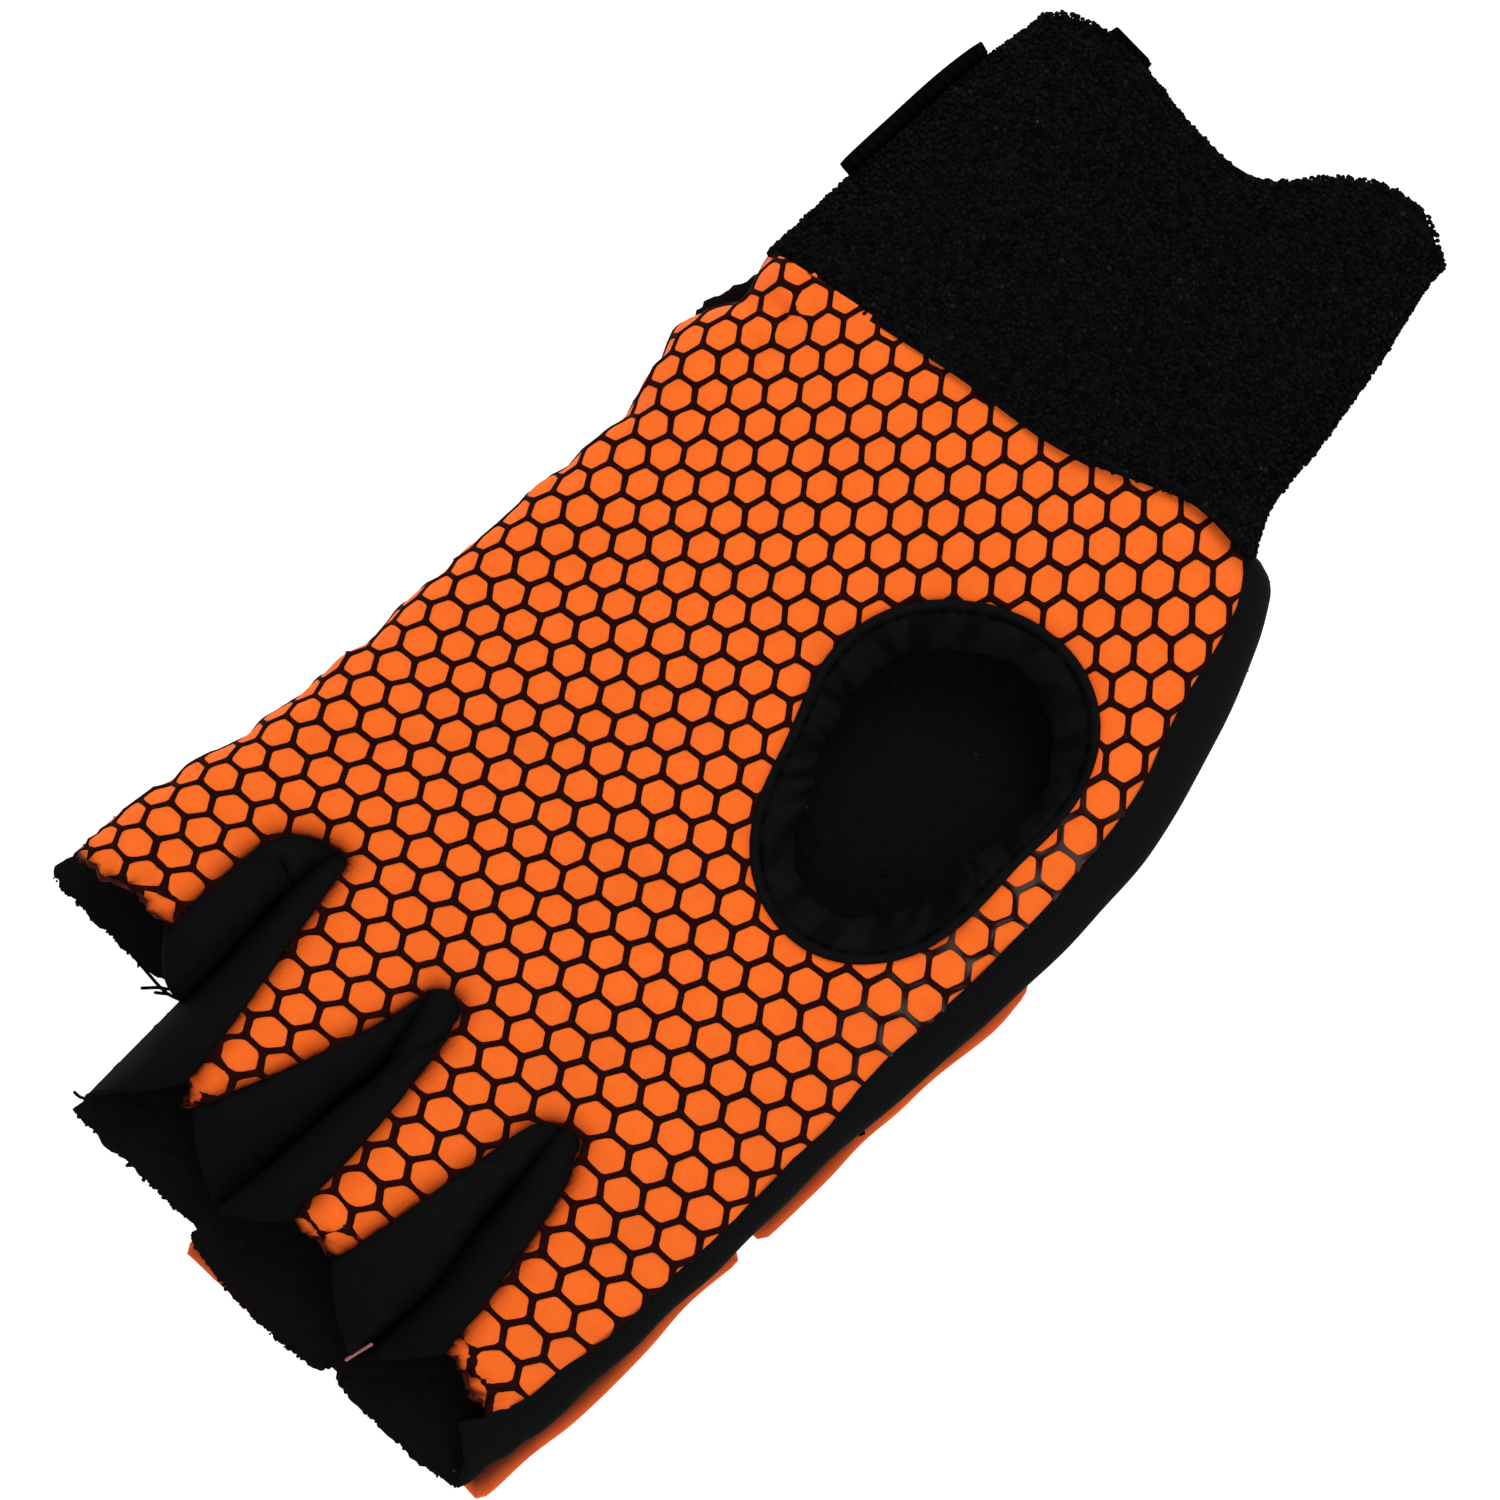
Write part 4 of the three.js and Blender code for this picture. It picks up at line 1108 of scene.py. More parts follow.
# %% Make the binding
BINDING_STEPS = 540
BINDING_SECTION = np.array([
    # how far inwards, height over the palm, and how much the gathers move it
    (0.0, -0.15, 0.0), (0.05, 0.5, 0.0), (0.3, 0.95, 0.0), (0.75, 1.1, 0.0), (1.15, 0.9, 0.0),
    (1.42, 0.62, 0.1), (1.65, 0.45, 0.3), (1.95, 0.5, 0.6), (2.5, 0.5, 0.9), (3.3, 0.35, 1.1),
    (4.2, -0.1, 1.2), (5.2, -0.8, 1.2), (6.2, -1.7, 1.2), (6.9, -2.7, 1.2), (7.15, -3.6, 1.0),
    (6.9, -4.4, 0.8), (6.2, -4.6, 0.5), (4.6, -3.9, 0.3), (2.8, -3.0, 0.0), (1.4, -2.0, 0.0),
    (0.4, -1.1, 0.0),
])
GATHER_HEIGHT = 0.5
GATHER_COUNTS = (13, 19, 28, 41)
GROOVE_AT, GROOVE_WIDTH, GROOVE_UNEVEN = 1.66, 0.3, 0.12
BAND_DRIFT, GATHER_PULL = 0.3, 0.42   # how far the band's inner edge wanders, and the gathers pull it
LIP_HEIGHT = -0.5                     # the band's lip is lower than this
HILL_RING = 30                        # the radius of the ring on which the band reads its hills


def gathers(turn):
    """The gathers round the hole: uneven waves that meet where the ring closes."""
    rng = np.random.default_rng(31)
    total = np.zeros_like(turn)
    for count in GATHER_COUNTS:
        strength = 1 + 0.6 * np.cos(2 * np.pi * (turn * rng.integers(2, 5) + rng.random()))
        total = total + strength * np.cos(2 * np.pi * (turn * count + rng.random()))
    return total / len(GATHER_COUNTS)


def rim_height(turn):
    """The palm's height at the hole's edge, part of the way down its turned edge."""
    return palm_height(*hole_edge(turn)) - HOLE_TURN_DOWN * 0.6


def make_binding():
    columns = len(BINDING_SECTION) * 2
    bm, u, v = grid_mesh(columns, BINDING_STEPS)
    at = u * len(BINDING_SECTION)
    loop = np.vstack([BINDING_SECTION[-1:], BINDING_SECTION, BINDING_SECTION[:2]])
    places = np.arange(-1, len(BINDING_SECTION) + 2)
    inwards, height, share = (curve_through(places, loop[:, k], at) for k in range(3))
    ripple = gathers(v)
    slow = 0.5 * np.cos(2 * np.pi * (v * 5 + 0.2)) + 0.5 * np.cos(2 * np.pi * (v * 9 + 0.7))
    inwards = inwards + share * (BAND_DRIFT * slow + GATHER_PULL * ripple * (height < LIP_HEIGHT))
    round_x, round_y = HILL_RING * np.cos(v * 2 * np.pi), HILL_RING * np.sin(v * 2 * np.pi)
    ragged = hills("groove", round_x, round_y)
    patches = hills("band", round_x, round_y + inwards * 0.6)
    groove_width = GROOVE_WIDTH + GROOVE_UNEVEN * np.abs(ragged)
    in_groove = np.exp(-(((inwards - GROOVE_AT) / groove_width) ** 2)) * (height > LIP_HEIGHT)
    stitched = 0.45 + 0.55 * smooth_step(ragged, -0.5, 0.7)
    shade = np.clip(0.9 * stitched * in_groove + share * 0.45 * np.clip(patches + 0.3, 0, 1.2), 0, 1)
    x, y = hole_edge(v, inwards)
    z = rim_height(v) + height + share * GATHER_HEIGHT * ripple
    piece = lay("thumb_hole_binding", bm, np.c_[x, y, z], np.c_[u * 22, v * 162])
    set_mask(piece, "Shade", shade)
    join_ring(piece)
    return piece


binding = make_binding()
dress(binding, SMOOTH_KNIT, "black_knit", "thumb_binding")
print("binding surface in square cm:", in_square_cm(sheet_area(binding)))

# %% Stitch the binding
STITCH_COUNT = 92
STITCH_SIZE = (1.15, 0.3, 0.22)
STITCH_RAISE = 0.3
TURN_UNEVEN, INWARDS_UNEVEN = 0.0012, 0.14


def scatter(name, template_bm, matrices):
    """One mesh with a copy of a small shape at each place."""
    bm, local = copies(template_bm, len(matrices))
    piece = new_object(name, bm)
    turned = np.einsum("nij,vj->nvi", matrices[:, :3, :3], local) + matrices[:, None, :3, 3]
    move_points(piece, turned.reshape(-1, 3))
    return piece


def matrices_of(places, along, up, sizes):
    """Placing matrices from places, directions and sizes, one row for each copy."""
    along = along / np.linalg.norm(along, axis=1, keepdims=True)
    side = np.cross(up, along)
    side = side / np.linalg.norm(side, axis=1, keepdims=True)
    over = np.cross(along, side)
    axes = [axis * sizes[:, k:k + 1] for k, axis in enumerate((along, side, over))]
    return np.stack(axes + [places], axis=2)


def make_stitches():
    turn = (np.arange(STITCH_COUNT) + 0.5) / STITCH_COUNT
    rng = np.random.default_rng(35)
    turn = turn + rng.normal(0, TURN_UNEVEN, STITCH_COUNT)
    inwards = GROOVE_AT + rng.normal(0, INWARDS_UNEVEN, STITCH_COUNT)
    x, y = hole_edge(turn, inwards)
    ahead_x, ahead_y = hole_edge(turn + 0.002, inwards)
    z = rim_height(turn) + STITCH_RAISE
    along = np.c_[ahead_x - x, ahead_y - y, 0 * x]
    up = np.tile((0.0, 0.0, 1.0), (STITCH_COUNT, 1))
    sizes = np.tile(STITCH_SIZE, (STITCH_COUNT, 1)) * 0.5
    bm = bmesh.new()
    bmesh.ops.create_uvsphere(bm, u_segments=8, v_segments=6, radius=1.0)
    return scatter("binding_stitches", bm, matrices_of(np.c_[x, y, z], along, up, sizes))


stitches = make_stitches()
dress(stitches, THREAD, "black_knit")
print("stitches:", STITCH_COUNT)

# %% [markdown]
# ## The fourchettes
# A fourchette is the strip between two fingers, folded along its middle into a deep valley. Each
# of its two walls rises to a finger's front. A wall can hang flat or swell into a plump roll
# beside the valley, so each wall is a grid of its own, spread from the valley to the seam, and
# the table below says how each one hangs. The walls end where the finger's stall opens.

# %% Make the fourchettes
FOURCHETTE_THICKNESS = 0.8
FOLD_HEIGHT = BACK_TOP + 0.85
TUCK_UNDER = 0.35
SEAM_GROOVE = 1.1
END_CURL = 0.9
SWELL = 1.1
FLAT_STEEP, PLUMP_STEEP = 0.34, 0.07    # how soon a flat and a plump wall rise, as shares across
OPEN_BY, DEEP_BY = 0.16, 0.34           # how far along the valley is open and fully deep
GROOVE_SHARE = 0.07
STRIP_LENGTH, STRIP_HALF = 42, 15     # the flat strip and each of its walls, in mm
# Each valley: where it starts on the crotch, its line as (y, x), and for the walls towards the
# nearer and the further finger where the wall's foot ends, how plump it is and how it ends
VALLEYS = {
    "fourchette_3": {
        "start": 0.5,
        "line": ((62, -21.3), (72, -21.9), (80, -22.6), (90, -24.3), (96, -24.2), (106.2, -23.1)),
        "walls": ((106.2, 0.15, 0.4), (105.8, 0.9, 0.7)),
    },
    "fourchette_2": {
        "start": 0.85,
        "line": ((61.5, 5.4), (69, 3.5), (75, 2.3), (82, 3.2), (92, 3.6), (104.8, 4.9)),
        "walls": ((104.8, 0.6, 0.3), (104.8, 0.1, 0.5)),
    },
    "fourchette_1": {
        "start": 0.3,
        "line": ((57.5, 28.8), (64, 29.3), (70, 29.6), (80, 29.2), (87.6, 29.0), (105.6, 28.9)),
        "walls": ((105.6, 0.25, 0.2), (87.6, 0.8, 1.5)),
    },
}
# Short creases: from one point to another, how wide and how deep
CREASES = {
    "fourchette_2": ((-0.5, 65.4), (2.2, 73.6), 0.7, 0.9),
    "fourchette_1": ((33.4, 62.9), (29.8, 64.1), 0.45, 1.0),
}


def wall_place(across, along, name, finger, after, second):
    """Points of one wall. across goes from the valley at 0 to the finger's seam at 1, and along
    goes from the crotch at 0 to the open end at 1."""
    valley = VALLEYS[name]
    line = np.array(valley["line"])
    foot_y, plump, bow = valley["walls"][second]
    side = after["left"] if second else finger["right"]
    side_x, side_y = finger_side(side, along)
    side_x = side_x + (TUCK_UNDER if second else -TUCK_UNDER)
    foot = mix(line[0, 0], foot_y, along)
    foot_x = read_table(line, foot)
    edge, heading = crotch_curve(finger, after, mix(valley["start"], 1.0 if second else 0.0, across))
    opened = smooth_step(along, 0, OPEN_BY)
    end_bow = bow * np.sin(np.pi * across) * smooth_step(along, 0.7, 1.0)
    x = mix(edge[..., 0] + heading[..., 1] * TUCK_UNDER, mix(foot_x, side_x, across), opened)
    y = mix(edge[..., 1] - heading[..., 0] * TUCK_UNDER, mix(foot, side_y, across) + end_bow, opened)
    top = palm_height(side_x, side_y) - SEAM_TURN_DOWN * 0.8
    drop = (top - FOLD_HEIGHT) * smooth_step(along, 0, DEEP_BY)
    steep = mix(FLAT_STEEP, PLUMP_STEEP, plump)
    rise = (1 - np.exp(-across / steep)) / (1 - math.exp(-1 / steep))
    swell = SWELL * plump * np.sin(np.pi * across ** 0.6) * (1.15 - 0.4 * along)
    swell = swell * smooth_step(along, 0.02, 0.25)
    groove = SEAM_GROOVE * np.exp(-(1 - across) / GROOVE_SHARE) * smooth_step(along, 0, 0.1)
    wave = hills("strip", x, y) + hills("strip ripple", x, y)
    curl = END_CURL * np.exp(-(1 - along) * STRIP_LENGTH / 0.9) * np.sin(np.pi * across) ** 0.5
    z = top - drop * (1 - rise) + swell - groove - curl + wave * np.sin(np.pi * across)
    if name in CREASES and second == (name == "fourchette_1"):
        z = z - crease_depth(x, y, CREASES[name])
    return np.stack([x, y, np.maximum(z, FOLD_HEIGHT - 0.35)], axis=-1)


def make_fourchette(name, finger, after):
    bm, u, v = grid_mesh(56, 80)
    walls = [wall_place(u ** 1.5, v, name, finger, after, second) for second in (0, 1)]
    sheet = bpy.data.meshes.new("wall")
    bm.to_mesh(sheet)
    bm.from_mesh(sheet)
    bpy.data.meshes.remove(sheet)
    flat = [np.c_[STRIP_HALF * (1 + side * u), v * STRIP_LENGTH] for side in (-1, 1)]
    piece = lay(name + "_cloth", bm, np.vstack(walls), np.vstack(flat))
    bm = bmesh.new()
    bm.from_mesh(piece.data)
    bm.faces.ensure_lookup_table()
    half = len(bm.faces) // 2
    for wall in (bm.faces[:half], bm.faces[half:]):
        if sum(face.normal.z for face in wall) < 0:
            bmesh.ops.reverse_faces(bm, faces=wall)
    bm.to_mesh(piece.data)
    bm.free()
    across, width = u ** 1.5, 1.5 + 8.5 * v
    shade = 0.9 * np.exp(-((across * width / 0.42) ** 2)) * smooth_step(v, 0.04, 0.14)
    shade = np.maximum(shade, 0.6 * np.exp(-((1 - across) * width / 0.5)))
    to_end = (1 - v) * STRIP_LENGTH
    shade = np.maximum(shade, 0.95 * np.exp(-to_end / 0.7))
    shade = np.maximum(shade, 0.45 * np.exp(-to_end / 9))
    set_mask(piece, "Shade", np.concatenate([shade, shade]))
    return piece


for i, fold_name in enumerate(FOLDS):
    strip = make_fourchette(fold_name, FINGERS[FINGER_ORDER[i]], FINGERS[FINGER_ORDER[i + 1]])
    finish_sheet(strip, FOURCHETTE_THICKNESS, SMOOTH_KNIT, "black_knit", fold_name)

# %% [markdown]
# ## The side gusset
# The gusset is a ribbed tape from the palm's seam on the index side down to the back. It bulges
# most at the base of the thumb, and at the fingertip it puckers where the stall ends.

# %% Make the gusset
GUSSET_THICKNESS = 1.3
GUSSET_TURNS = (math.radians(20), math.radians(152))
TIP_LEAN = 1.4
TIP_END, TIP_SLANT = 108.2, 6.6
GUSSET_START, END_ROUNDING = -63.4, 2.4
SEAM_LAP, UNDER_PALM, OVER_BACK = 0.5, 0.8, 0.5   # how the tape lies against its neighbours, in mm


def gusset_place(u, v):
    first, last = GUSSET_TURNS
    turn = mix(first, last, 1 - u)
    past_side = np.abs(turn - np.pi / 2) / (np.pi / 2 - first)
    y = mix(GUSSET_START, TIP_END - TIP_SLANT * past_side, v)
    seam = section(y, "seam") + SEAM_LAP + TIP_LEAN * smooth_step(y, 97, 102)
    top = palm_height(section(y, "seam"), y) - UNDER_PALM
    low = np.minimum(back_height(y) + BACK_THICKNESS / 2, BACK_TOP) + OVER_BACK
    middle = (top + low) / 2
    from_end = np.clip((y - GUSSET_START) / END_ROUNDING, 0, 1)
    rounded = END_ROUNDING * (1 - np.sqrt(1 - (1 - from_end) ** 2))
    side = np.minimum(section(y, "side") + GUSSET_THICKNESS / 2 + rounded, seam - 1)
    out = (np.sin(turn) - math.sin(first)) / (1 - math.sin(first))
    upper = np.cos(turn) / math.cos(first)
    lower = -np.cos(turn) / math.cos(last)
    reach = np.where(turn < np.pi / 2, upper, lower)
    at_tip = smooth_step(y, 88, 104)
    pucker = at_tip * hills("tape tip", u * 9, y) + hills("tape", u * 6, y)
    x = mix(seam, side, out) - pucker
    return np.stack([x, y, middle + (top - middle) * reach], axis=-1)


def make_gusset():
    bm, u, v = grid_mesh(26, 300)
    return lay("gusset_cloth", bm, gusset_place(u, v), np.c_[u * 16, v * 172])


gusset = make_gusset()
gusset_area = finish_sheet(gusset, GUSSET_THICKNESS, RIBBED_KNIT, "black_knit", "side_gusset")

# %% [markdown]
# ## The back
# The back of the hand and the four finger backs are one piece of thick fleece. Its brushed side
# shows inside the thumb hole and past the short finger fronts, and its cut edge is uneven.

# %% Make the back
BACK_COLUMNS, BACK_ROWS = 140, 220
BACK_AREA = ((-56, 56), (-66, 113))
CROTCH_Y = 66        # the finger backs part here
RAW_REACH = 0.8


def back_edges():
    path = []
    x = np.linspace(outer_side(-45, "back"), section(-62.6, "side") + 1, 30)
    path += list(np.c_[x, read_table(CUFF_SEAM, x) - 0.4])
    y = np.linspace(-58, 98, 60)
    path += list(np.c_[section(y, "side") + 0.6, y])
    for name in FINGER_ORDER:
        back = FINGERS[name]["back"]
        left, right = back[:2]
        if name != "index":
            path.append((left, CROTCH_Y))
        x = left + (right - left) * (1 - np.cos(np.linspace(0, np.pi, 40))) / 2
        path += list(np.c_[x, tip_line(back, x)])
        if name != "pinky":
            path.append((right, CROTCH_Y))
    y = np.linspace(78, -42, 80)
    path += list(np.c_[outer_side(y, "back"), y])
    return closed(np.array(path))


def make_back():
    bm, u, v = grid_mesh(BACK_COLUMNS, BACK_ROWS)
    flat = np.c_[mix(*BACK_AREA[0], u), mix(*BACK_AREA[1], v)]
    edges = back_edges()
    inside, nearest, _ = edge_distances(flat, edges, ["cut"] * len(edges))
    flat, _ = trim(bm, flat, inside, nearest)
    _, _, near = edge_distances(flat, edges, ["cut"] * len(edges))
    x, y = flat.T
    raw = np.exp(-near["cut"] / RAW_REACH)
    x = x + raw * hills("cut across", x, y)
    y = y + raw * hills("cut along", x, y)
    z = back_height(y) + hills("fleece", x, y) * (y > -60)
    return lay("back_fleece", bm, np.c_[x, y, z], flat)


back = make_back()
back_area = finish_sheet(back, BACK_THICKNESS - 0.3, FLEECE, "fleece", "back_panel")

# %% Fray the edges of the back
TUFT_STEP = 0.4
TUFT_LAYERS = (-0.9, -0.2, 0.5)
BALL_FACES = 20


def tip_runs():
    """Points along the cut ends of the finger backs, with the outward direction at each."""
    rng = np.random.default_rng(71)
    places, out = [], []
    for name in FINGER_ORDER:
        back = FINGERS[name]["back"]
        left, right = back[:2]
        count = int((right - left) / TUFT_STEP)
        x = np.clip(np.linspace(left, right, count) + rng.normal(0, 0.15, count), left + 0.2, right - 0.2)
        y = tip_line(back, x)
        for layer in TUFT_LAYERS:
            z = BACK_MIDDLE + layer + rng.normal(0, 0.2, count)
            places.append(np.c_[x + rng.normal(0, 0.2, count), y + rng.normal(-0.25, 0.22, count), z])
            out.append(np.c_[rng.normal(0, 0.35, count), np.ones(count), rng.normal(0, 0.35, count)])
    return np.vstack(places), np.vstack(out)


def make_tufts():
    rng = np.random.default_rng(72)
    places, out = tip_runs()
    sizes = rng.uniform(0.2, 0.42, (len(places), 1)) * rng.uniform(0.8, 1.2, (len(places), 3))
    up = rng.normal(0, 1, places.shape)
    return scatter("fleece_edge", ball(), matrices_of(places, out, up, sizes))


tufts = make_tufts()
dress(tufts, FLEECE, "fleece")
print("tufts:", len(tufts.data.polygons) // BALL_FACES)

# %% Lay the loose threads
THREAD_RADIUS = 0.26
THREAD_STEP = 0.3
# Threads that have come loose at the fingertips, each as points in mm
BLACK_THREADS = [
    [(29.3, 87.4, 9.6), (31.6, 88.1, 10.2), (35.0, 88.0, 10.4), (40.6, 87.5, 9.8)],
    [(31.8, 87.6, 10.2), (32.8, 88.3, 10.6), (34.4, 90.0, 10.4)],
    [(31.2, 88.0, 10.2), (32.6, 89.1, 10.5)],
    [(28.8, 106.6, 10.0), (29.8, 107.1, 10.4), (30.8, 107.2, 10.2)],
]
PALE_THREADS = [[(-23.9, 102.4, 17.4), (-23.4, 104.6, 15.4), (-23.0, 106.7, 12.6)]]


def make_threads(name, threads):
    """Threads as rows of small beads that overlap, each pulled long along its thread."""
    places, along = [], []
    for thread in threads:
        line = np.array(thread)
        far = lengths_along(line)
        at = np.arange(0, far[-1], THREAD_STEP)
        here, ahead = (
            np.stack([curve_through(far, line[:, k], spot) for k in range(3)], axis=1)
            for spot in (at, at + THREAD_STEP / 6)
        )
        places.append(here)
        along.append(ahead - here)
    places, along = np.vstack(places), np.vstack(along)
    up = np.tile((0.0, 0.1, 1.0), (len(places), 1))
    sizes = np.tile((THREAD_STEP * 1.2, THREAD_RADIUS, THREAD_RADIUS), (len(places), 1))
    return scatter(name, ball(2), matrices_of(places, along, up, sizes))


for thread_name, threads, yarn in (
    ("loose_black_threads", BLACK_THREADS, THREAD), ("loose_pale_thread", PALE_THREADS, PALE_THREAD),
):
    loose = make_threads(thread_name, threads)
    dress(loose, yarn, "fleece")
    print(thread_name, "faces:", len(loose.data.polygons))

# %% [markdown]
# ## The terry cuff
# Terry is cloth covered in small loops of yarn. The wall is a plain open tube, and the loops are
# thousands of small stones of yarn, each a twenty-sided ball pulled long and laid in its own
# direction. They also run over the cuff's open end, so that the cuff's outline is bumpy, as it should be.

# %% The cuff's tube
TERRY_WALL = 2.4
LOOP_HEIGHT = 0.6
SQUARENESS = 3.0
RING_AT = -80.0


def cuff_place(turn, y, outwards):
    """A point of the cuff's section, a half turn being one unit, from the little finger's side."""
    angle = turn * np.pi
    cos, sin = np.cos(angle), np.sin(angle)
    across = np.sign(cos) * np.abs(cos) ** (2 / SQUARENESS)
    up = np.sign(sin) * np.abs(sin) ** (2 / SQUARENESS)
    left, right = cuff_section(y, "left") - outwards, cuff_section(y, "right") + outwards
    low, high = cuff_section(y, "low") - outwards, cuff_section(y, "high") + outwards
    x, z = mix(left, right, (across + 1) / 2), mix(low, high, (up + 1) / 2)
    return np.stack([x, y + 0 * x, z], axis=-1)


def cuff_ring(first, last, steps):
    """Turns between two turns of the cuff, and how far each is along the section in mm."""
    fine = np.linspace(first, last, steps)
    return fine, lengths_along(cuff_place(fine, np.full_like(fine, RING_AT), 0.0))


def cuff_turns(count):
    """Turns that step evenly along the section's length, and that length in mm."""
    fine, far = cuff_ring(0, 2, 2001)
    return np.interp(np.linspace(0, far[-1], count, endpoint=False), far, fine), far[-1]


def cuff_span(turn):
    """Where the cuff starts at its seam and ends at its wavy edge, at each turn."""
    x = cuff_place(turn, np.full_like(turn, -55.0), 0.0)[:, 0]
    x_end = cuff_place(turn, np.full_like(turn, -105.0), 0.0)[:, 0]
    return read_table(CUFF_SEAM, x) + 0.1, read_table(CUFF_END, x_end)


def make_cuff():
    columns, rows = 200, 48
    bm, u, v = grid_mesh(columns, rows)
    turns, length = cuff_turns(columns)
    turn = np.append(turns, 2.0)[np.rint(u * columns).astype(int)]
    start, end = cuff_span(turn)
    y = mix(start - 0.5, end + 0.5, v)
    points = cuff_place(turn, y, 0.0)
    outward = cuff_place(turn, y, 1.0) - points
    middle = points - outward * (LOOP_HEIGHT + TERRY_WALL / 2)
    piece = lay("cuff_cloth", bm, middle, np.c_[u * length, v * 57])
    join_ring(piece)
    return piece, length


cuff, cuff_length = make_cuff()
cuff_area = finish_sheet(cuff, TERRY_WALL, TERRY, "terry", "cuff")
print("cuff round in mm:", round(cuff_length))

# %% Cover the cuff in loops
LOOP_PITCH = 0.83
ROW_STEP = LOOP_PITCH * 0.87
LOOP_SIZE = 0.5
FIRST_ROW, ROWS_LENGTH = -43.5, 70      # where the first row of loops lies, and how far the rows go
BEHIND_SEAM, BEFORE_END, RIM_INSET = 0.85, 0.1, 0.35
PLACE_UNEVEN, RIM_UNEVEN = 0.17, (0.2, 0.14)
LOOP_SHAPE = np.array([1.15, 0.75, 0.85])
RIM_LAYERS = (0.3, 1.2, 2.1, 2.9)       # how deep the rows of loops over the end's wall lie, in mm
LINT_LOOPS, LINT_TONE = 0.006, 1.6      # the share of loops that carry lint, and how pale they are


def loop_places(first, last):
    """Where the loops sit between two turns of the cuff: in jittered rows, and over its end."""
    rng = np.random.default_rng(91)
    fine, far = cuff_ring(first, last, 1001)
    length = far[-1]
    columns, rows = int(length / LOOP_PITCH), int(ROWS_LENGTH / ROW_STEP)
    column, row = (part.ravel() for part in np.meshgrid(np.arange(columns), np.arange(rows)))
    across = (column + 0.5 * (row % 2) + 0.25) * length / columns + rng.normal(0, PLACE_UNEVEN, len(column))
    turn = np.interp(across, far, fine)
    y = FIRST_ROW - row * ROW_STEP + rng.normal(0, PLACE_UNEVEN, len(row))
    start, end = cuff_span(turn)
    kept = (y < start - BEHIND_SEAM) & (y > end + BEFORE_END)
    places = cuff_place(turn[kept], y[kept], -LOOP_HEIGHT + 0.1)
    layers = np.repeat(RIM_LAYERS, columns)
    rim = np.tile(np.arange(columns), len(RIM_LAYERS)) * length / columns
    rim_turn = np.interp(rim + rng.normal(0, RIM_UNEVEN[0], len(layers)), far, fine)
    rim_y = cuff_span(rim_turn)[1] + RIM_INSET + rng.normal(0, RIM_UNEVEN[1], len(layers))
    outer, inner = cuff_place(rim_turn, rim_y, 0.0), cuff_place(rim_turn, rim_y, -1.0)
    return np.vstack([places, outer + (inner - outer) * layers[:, None]])


def make_loops(name, first, last):
    rng = np.random.default_rng(92)
    places = loop_places(first, last)
    places += rng.normal(0, 0.08, places.shape)
    sizes = LOOP_SIZE * rng.uniform(0.8, 1.15, (len(places), 1)) * LOOP_SHAPE
    directions = rng.normal(0, 1, (2, *places.shape))
    piece = scatter(name, ball(), matrices_of(places, *directions, sizes))
    points = len(piece.data.vertices) // len(places)
    tone = rng.random(len(places)) * 0.5
    tone[rng.random(len(places)) < LINT_LOOPS] = LINT_TONE
    set_mask(piece, "Tone", np.repeat(tone, points))
    return piece


palm_loops = make_loops("terry_loops_palm_side", -0.06, 1.06)
back_loops = make_loops("terry_loops_back_side", 1.06, 1.94)
for loops in (palm_loops, back_loops):
    dress(loops, LOOP_YARN, "terry")
    print(loops.name, "loops:", len(loops.data.polygons) // BALL_FACES)

# %% [markdown]
# ## The facing and the strap
# A smooth facing lies inside the cuff's back and shows at its end, with a short tab. The strap
# that closes the wrist crosses the cuff's back and turns up round the little finger's side, where
# only its edge shows from above. Both are firm webbing, so they are modelled directly.

# %% Make the facing and the strap
FACING = {"start": -0.8, "end": -0.2, "tab": (26.4, 33.6, -103.4), "reach": 1.2, "thickness": 1.1}
FACING_INSET = LOOP_HEIGHT + TERRY_WALL + 1.15
STRAP = {"from_y": -87.6, "to_y": -61.8, "start": -0.66, "end": 0.07, "thickness": 1.7}
STRAP_CORNER, STRAP_END_TURN = 2.2, 0.02
STRAP_LIFT, STRAP_RIDGE, RIDGE_REACH = 0.35, 0.12, 0.8


def make_facing():
    bm, u, v = grid_mesh(90, 70)
    turn = mix(FACING["end"], FACING["start"], u)
    y = mix(-61.0, -116.0, v)
    points = cuff_place(turn, y, -FACING_INSET)
    left, right, tab_y = FACING["tab"]
    x = np.linspace(-60, 60, 120)
    top = np.c_[x[::-1], np.full(120, -61.5)]
    edge_y = np.where((x > left) & (x < right), tab_y, read_table(CUFF_END, x) - FACING["reach"])
    edges = closed(np.vstack([top, np.c_[x, edge_y]]))
    inside, nearest, _ = edge_distances(points[:, :2], edges, ["cut"] * len(edges))
    flat, height = trim(bm, points[:, :2], inside, nearest, points[:, 2])
    return lay("facing_cloth", bm, np.c_[flat, height], flat)


def make_strap():
    bm, u, v = grid_mesh(120, 26)
    y = mix(STRAP["from_y"], STRAP["to_y"], v)
    to_end = np.minimum(y - STRAP["from_y"], STRAP["to_y"] - y)
    rounding = STRAP_END_TURN * (1 - np.sqrt(1 - np.clip(1 - to_end / STRAP_CORNER, 0, 1) ** 2))
    turn = mix(STRAP["end"] - rounding, STRAP["start"], u)
    edge_ridge = STRAP_RIDGE * np.exp(-to_end / RIDGE_REACH)
    points = cuff_place(turn, y, STRAP_LIFT + STRAP["thickness"] / 2 - edge_ridge)
    return lay("strap_webbing", bm, points, np.c_[u * 90, v * 26])


facing = make_facing()
facing_area = finish_sheet(facing, FACING["thickness"], WEBBING, "webbing", "wrist_facing")
strap = make_strap()
finish_sheet(strap, STRAP["thickness"], WEBBING, "webbing", "closing_strap")

